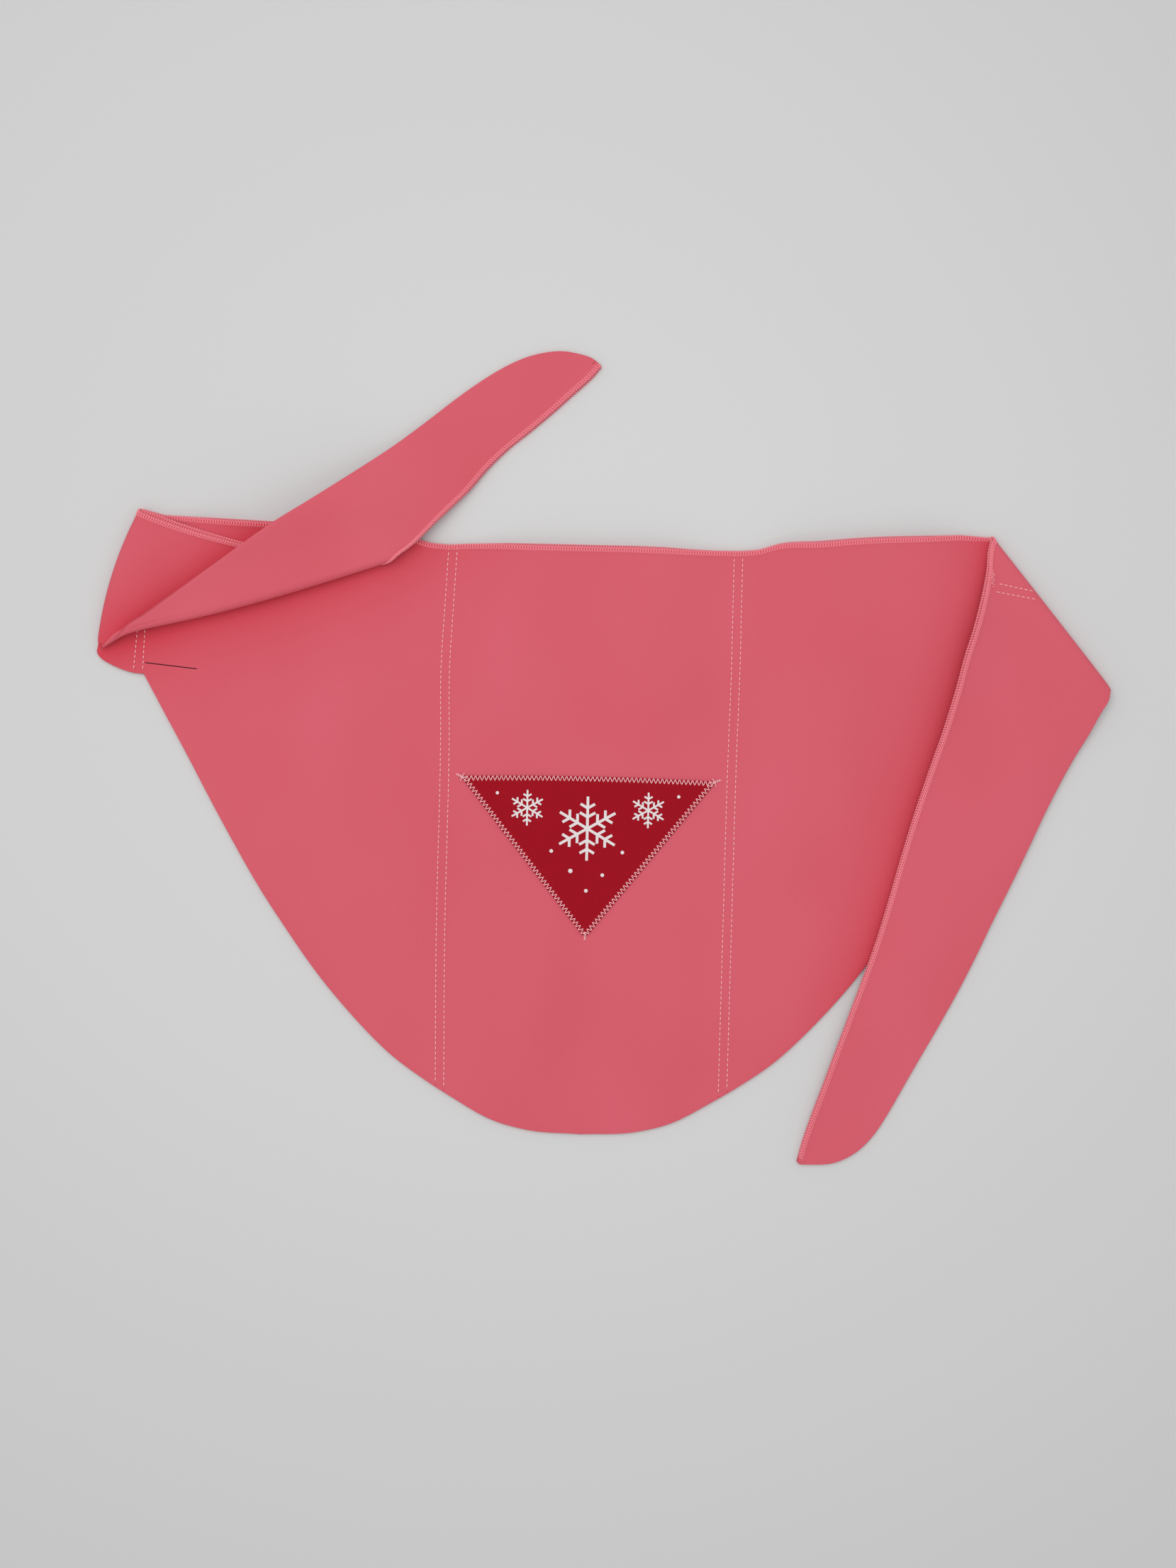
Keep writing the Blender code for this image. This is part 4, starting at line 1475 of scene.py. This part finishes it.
left_top = np.array(patch_place(-1.0, 0.0))
right_top = np.array(patch_place(1.0, 0.0))
left_tip = np.array(patch_place(-1.0, 1.0))
right_tip = np.array(patch_place(1.0, 1.0))
zigzag_sides = []
for name, start, end, bowed in (
    ("zigzag_top", left_top, right_top, 1.0),
    ("zigzag_right", right_top, right_tip, 0.0),
    ("zigzag_left", left_tip, left_top, 0.0),
):
    path = patch_side(start, end, bowed)
    along = np.append(unit(end - start), 0.0)
    zigzag_sides.append(tubes(name, path[None], ZIGZAG_RADIUS, along))
for name, corner, outward in (
    ("tack_left", left_top, (-0.92, 0.39)),
    ("tack_right", right_top, (0.92, 0.39)),
    ("tack_tip", (left_tip + right_tip) / 2, (0.0, -1.0)),
):
    zigzag_sides.append(tack(corner, unit(np.array(outward)), name))
print("Zigzag points:", [len(piece.data.vertices) for piece in zigzag_sides])

# %% [markdown]
# ## Finishes
#
# The cloth is a thin, smooth polyester knit in coral. Its colour drifts very softly over some
# centimetres, and it glows a little at grazing angles, as brushed threads do. Around the stitch rows the
# cloth puckers and the needle holes show as dark dots. Next to an overhanging tie a painted shade turns it
# a deeper red, for the shadow there and the light bounced between the red layers.
# Photographs of cloth could be used instead, but numbers are easier to change and never repeat.

# %% Coral cloth
CORAL_LIGHT = (0.71, 0.125, 0.172)
CORAL_DEEP = (0.66, 0.098, 0.132)
# Painted shade: the deeper red laid on next to an overhanging tie, and how much of it.
CORAL_PAINTED_SHADE = (0.62, 0.018, 0.038)
PAINTED_SHADE_STRENGTH = 0.62
HOLE_RED = (0.25, 0.012, 0.026)
INK = (0.045, 0.006, 0.012)
CLOTH_ROUGHNESS = 0.85
# Ends of the printed fill line, in millimetres.
FILL_LINE = (-251.1, -71.7, -221.8, -74.6)
FILL_WIDTH = 0.6 * MM
HOLE_WIDTH = 0.52 * MM
HOLE_LENGTH_SHARE = 0.26
HOLE_STRENGTH = 0.6
PUCKER_RUN = 1.7 * MM
DRIFT_SIZE = 85 * MM
MOTTLE_SIZE = 1.6 * MM
GRAIN_SIZE = 0.9 * MM
KNIT_RELIEF = 0.4 * MM


def coral_cloth():
    """Mottled coral with painted shade by the ties, fine grain, row puckers, needle holes and the printed
    fill line.
    """
    finish = Finish("coral_cloth", CLOTH_ROUGHNESS, sheen=0.12, sheen_tint=(1.0, 0.75, 0.76))
    gap, down, in_pouch = finish.attribute("seam")
    row_gap = gap - ROW_SPACING / 2
    beat = (down / STITCH_PITCH).math("FRACT") - 0.5
    hole_across = row_gap.size().below(HOLE_WIDTH / 2, 0.3 * MM)
    hole = hole_across * (0.5 - beat.size()).below(HOLE_LENGTH_SHARE / 2, 0.08)
    drift = finish.noise(DRIFT_SIZE, 1.0, (1.3, 0.8, 1)) * 0.8 + finish.noise(MOTTLE_SIZE, 2.0) * 0.2
    x, y, _ = finish.parts(finish.place())
    x0, y0, x1, y1 = np.array(FILL_LINE) * MM
    turn = math.atan2(y1 - y0, x1 - x0)
    from_x = x - ((x0 + x1) / 2 + float(MOVE[0]))
    from_y = y - ((y0 + y1) / 2 + float(MOVE[1]))
    along = from_x * math.cos(turn) + from_y * math.sin(turn)
    across = from_y * math.cos(turn) - from_x * math.sin(turn)
    half_length = math.hypot(x1 - x0, y1 - y0) / 2
    line = across.size().below(FILL_WIDTH / 2, 0.2 * MM) * along.size().below(half_length, 0.6 * MM)
    cloth = finish.mixed(drift.below(0.5, 0.7), CORAL_LIGHT, CORAL_DEEP)
    # Painted shade beside the ties, from the point note.
    painted_shade = finish.attribute("painted_shade")[0]
    with_painted_shade = finish.mixed(painted_shade * PAINTED_SHADE_STRENGTH, cloth, CORAL_PAINTED_SHADE)
    pierced = finish.mixed(hole * HOLE_STRENGTH, with_painted_shade, HOLE_RED)
    printed = finish.mixed(line * in_pouch, pierced, INK)
    finish.coloured(printed)
    pucker = row_gap.bump(PUCKER_RUN) * (down.wave(2 * STITCH_PITCH) * 0.25 + 0.5)
    grain = finish.noise(GRAIN_SIZE, 3.0)
    finish.raised(pucker * 0.8 + grain * 0.12, KNIT_RELIEF, 0.8)
    return finish.material


coral = coral_cloth()
for piece in (front_cloth, back_cloth):
    piece.data.materials.append(coral)
print("Coral cloth on", front_cloth.name, "and", back_cloth.name)

# %% [markdown]
# The patch is a closer weave, printed in white with something cold: a row of three snow crystals over a
# few falling dots. A crystal is drawn by folding the plane into six equal wedges, so one arm is enough. A
# picture file could hold the print, but a formula has sharp edges at any distance.

# %% Crimson patch
CRIMSON = (0.36, 0.002, 0.012)
CRIMSON_DEEP = (0.32, 0.001, 0.009)
PRINT_WHITE = (0.80, 0.74, 0.74)
PRINT_EDGE = 0.2 * MM
WEAVE_SIZE = 1.1 * MM
WEAVE_RELIEF = 0.25 * MM
# Snow crystals. Columns: place across and down the patch, length of an arm and width of a line, all in
# millimetres.
CRYSTALS = ((0, 28, 18.0, 1.5), (-34, 17, 10.0, 1.0), (34, 17, 10.0, 1.0))
# Branches of an arm. Columns: where one starts and how long it is, as shares of the arm.
BRANCHES = ((0.36, 0.28), (0.64, 0.26))
# Falling dots. Columns: place across and down the patch, and radius, in millimetres.
DOTS = (
    (-20, 41, 1.0),
    (20, 41, 1.0),
    (-9, 52, 1.2),
    (9, 54, 1.0),
    (0, 63, 1.0),
    (-51, 9, 0.9),
    (51, 9, 0.9),
)


def crystal(x, y, arm, line):
    """A six-armed star: distances from an arm and along it, after turning each wedge onto one."""
    reach = far_out(x, y)
    wedge = y.math("ARCTAN2", x).math("FLOORED_MODULO", math.pi / 3) - math.pi / 6
    along = reach * wedge.math("COSINE")
    off = (reach * wedge.math("SINE")).size()
    drawing = off.below(line / 2, PRINT_EDGE) * along.below(arm, PRINT_EDGE)
    slant = math.pi / 3
    for start, length in BRANCHES:
        past = along - start * arm
        forward = past * math.cos(slant) + off * math.sin(slant)
        aside = past * math.sin(slant) - off * math.cos(slant)
        stroke = aside.size().below(line / 2, PRINT_EDGE) * forward.below(length * arm, PRINT_EDGE)
        drawing = drawing.math("MAXIMUM", stroke * (0 - forward).below(line / 2, PRINT_EDGE))
    return drawing


def crimson_cloth():
    """Fine crimson weave with white crystals and dots."""
    finish = Finish("crimson_cloth", 0.9)
    x, y, _ = finish.parts(finish.place())
    across = x - float(MOVE[0])
    down = float(MOVE[1] - PATCH_DROP) - y
    drawing = None
    for at_x, at_y, arm, line in CRYSTALS:
        made = crystal(across - at_x * MM, down - at_y * MM, arm * MM, line * MM)
        drawing = made if drawing is None else drawing.math("MAXIMUM", made)
    for at_x, at_y, radius in DOTS:
        gap = far_out(across - at_x * MM, down - at_y * MM)
        drawing = drawing.math("MAXIMUM", gap.below(radius * MM, PRINT_EDGE))
    weave = finish.noise(WEAVE_SIZE, 3.0)
    cloth = finish.mixed(weave.below(0.5, 0.5), CRIMSON, CRIMSON_DEEP)
    finish.coloured(finish.mixed(drawing, cloth, PRINT_WHITE))
    finish.raised(weave * 0.5 + drawing * 0.2, WEAVE_RELIEF, 0.8)
    return finish.material


patch_cloth.data.materials.append(crimson_cloth())
print("Crimson cloth on", patch_cloth.name)

# %% [markdown]
# Thread is shinier than cloth and catches more light, so it looks paler although it is dyed to match, and
# that sheen is painted into its colour here. The table is a matt pale board. A phone's picture darkens a
# little towards its corners. The camera here doesn't do that, so a painted shade in the board's tone
# darkens it outwards.

# %% Thread and table
# Painted sheen: both thread colours are set paler than the dye, for the light that shiny thread catches.
THREAD_PINK = (0.98, 0.30, 0.36)
THREAD_PALE = (0.96, 0.50, 0.53)
FIBRE_SIZE = 0.3 * MM
FIBRE_RELIEF = 0.05 * MM
# Painted shade: the board's tone darkens outwards in place of the picture's darker corners.
TABLE_MIDDLE = (0.683, 0.683, 0.683)
TABLE_OUTER_SHADE = (0.518, 0.518, 0.518)
TABLE_SHADE_FADE = 0.62
BOARD_GRAIN = 3 * MM
BOARD_RELIEF = 0.02 * MM


def thread_finish(name, colour, roughness):
    """One colour with the fine relief of spun fibres."""
    finish = Finish(name, roughness, sheen=0.2, sheen_tint=colour)
    finish.coloured(colour)
    finish.raised(finish.noise(FIBRE_SIZE, 2.0), FIBRE_RELIEF)
    return finish.material


pink_thread = thread_finish("overlock_thread", THREAD_PINK, 0.6)
pale_thread = thread_finish("sewing_thread", THREAD_PALE, 0.55)
thread_pieces = {
    "front": [*overlocks["front"], front_stitches],
    "back": [*overlocks["back"], back_stitches, tie_stitches, tangle],
    "patch": zigzag_sides,
}
threads = [piece for pieces in thread_pieces.values() for piece in pieces]
pink = [*overlocks["front"], *overlocks["back"], tangle]
for piece in threads:
    piece.data.materials.append(pink_thread if piece in pink else pale_thread)


def table_top():
    """Pale board with a painted shade that darkens it outwards, by one over one plus the square of the
    distance.
    """
    finish = Finish("table_top", 0.55)
    x, y, _ = finish.parts(finish.place())
    finish.coloured(finish.mixed(far_out(x, y).bump(TABLE_SHADE_FADE), TABLE_OUTER_SHADE, TABLE_MIDDLE))
    finish.raised(finish.noise(BOARD_GRAIN, 2.0), BOARD_RELIEF)
    return finish.material


table.data.materials.append(table_top())
print("Threads:", len(threads))

# %% [markdown]
# ## What stands for what
#
# The imported model's rigid solids stay, hidden, and the pieces here are shown in their place. The
# imported model's rigid solids stay for collision, and the pieces here are shown in their place. Each
# piece rides on the wrap's one body. The cut area of each ply is worked out once more, because cloth is
# bought flat.

# %% Pieces and sheets
for piece in (front_cloth, back_cloth, patch_cloth, *threads):
    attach(piece, "root")
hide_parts("front_panel", "left_tie_front", "right_tie_front")
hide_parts("back_panel", "left_tie_back", "right_tie_back")
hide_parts("patch")
for ply, piece in ((front, front_cloth), (back, back_cloth)):
    ply.area()

# %% [markdown]
# ## Bringing the scene up to date
#
# The dressed wrap must stay the size of the imported model. The last step brings the scene's placements up
# to date.

# %% Scene update
bpy.context.view_layer.update()
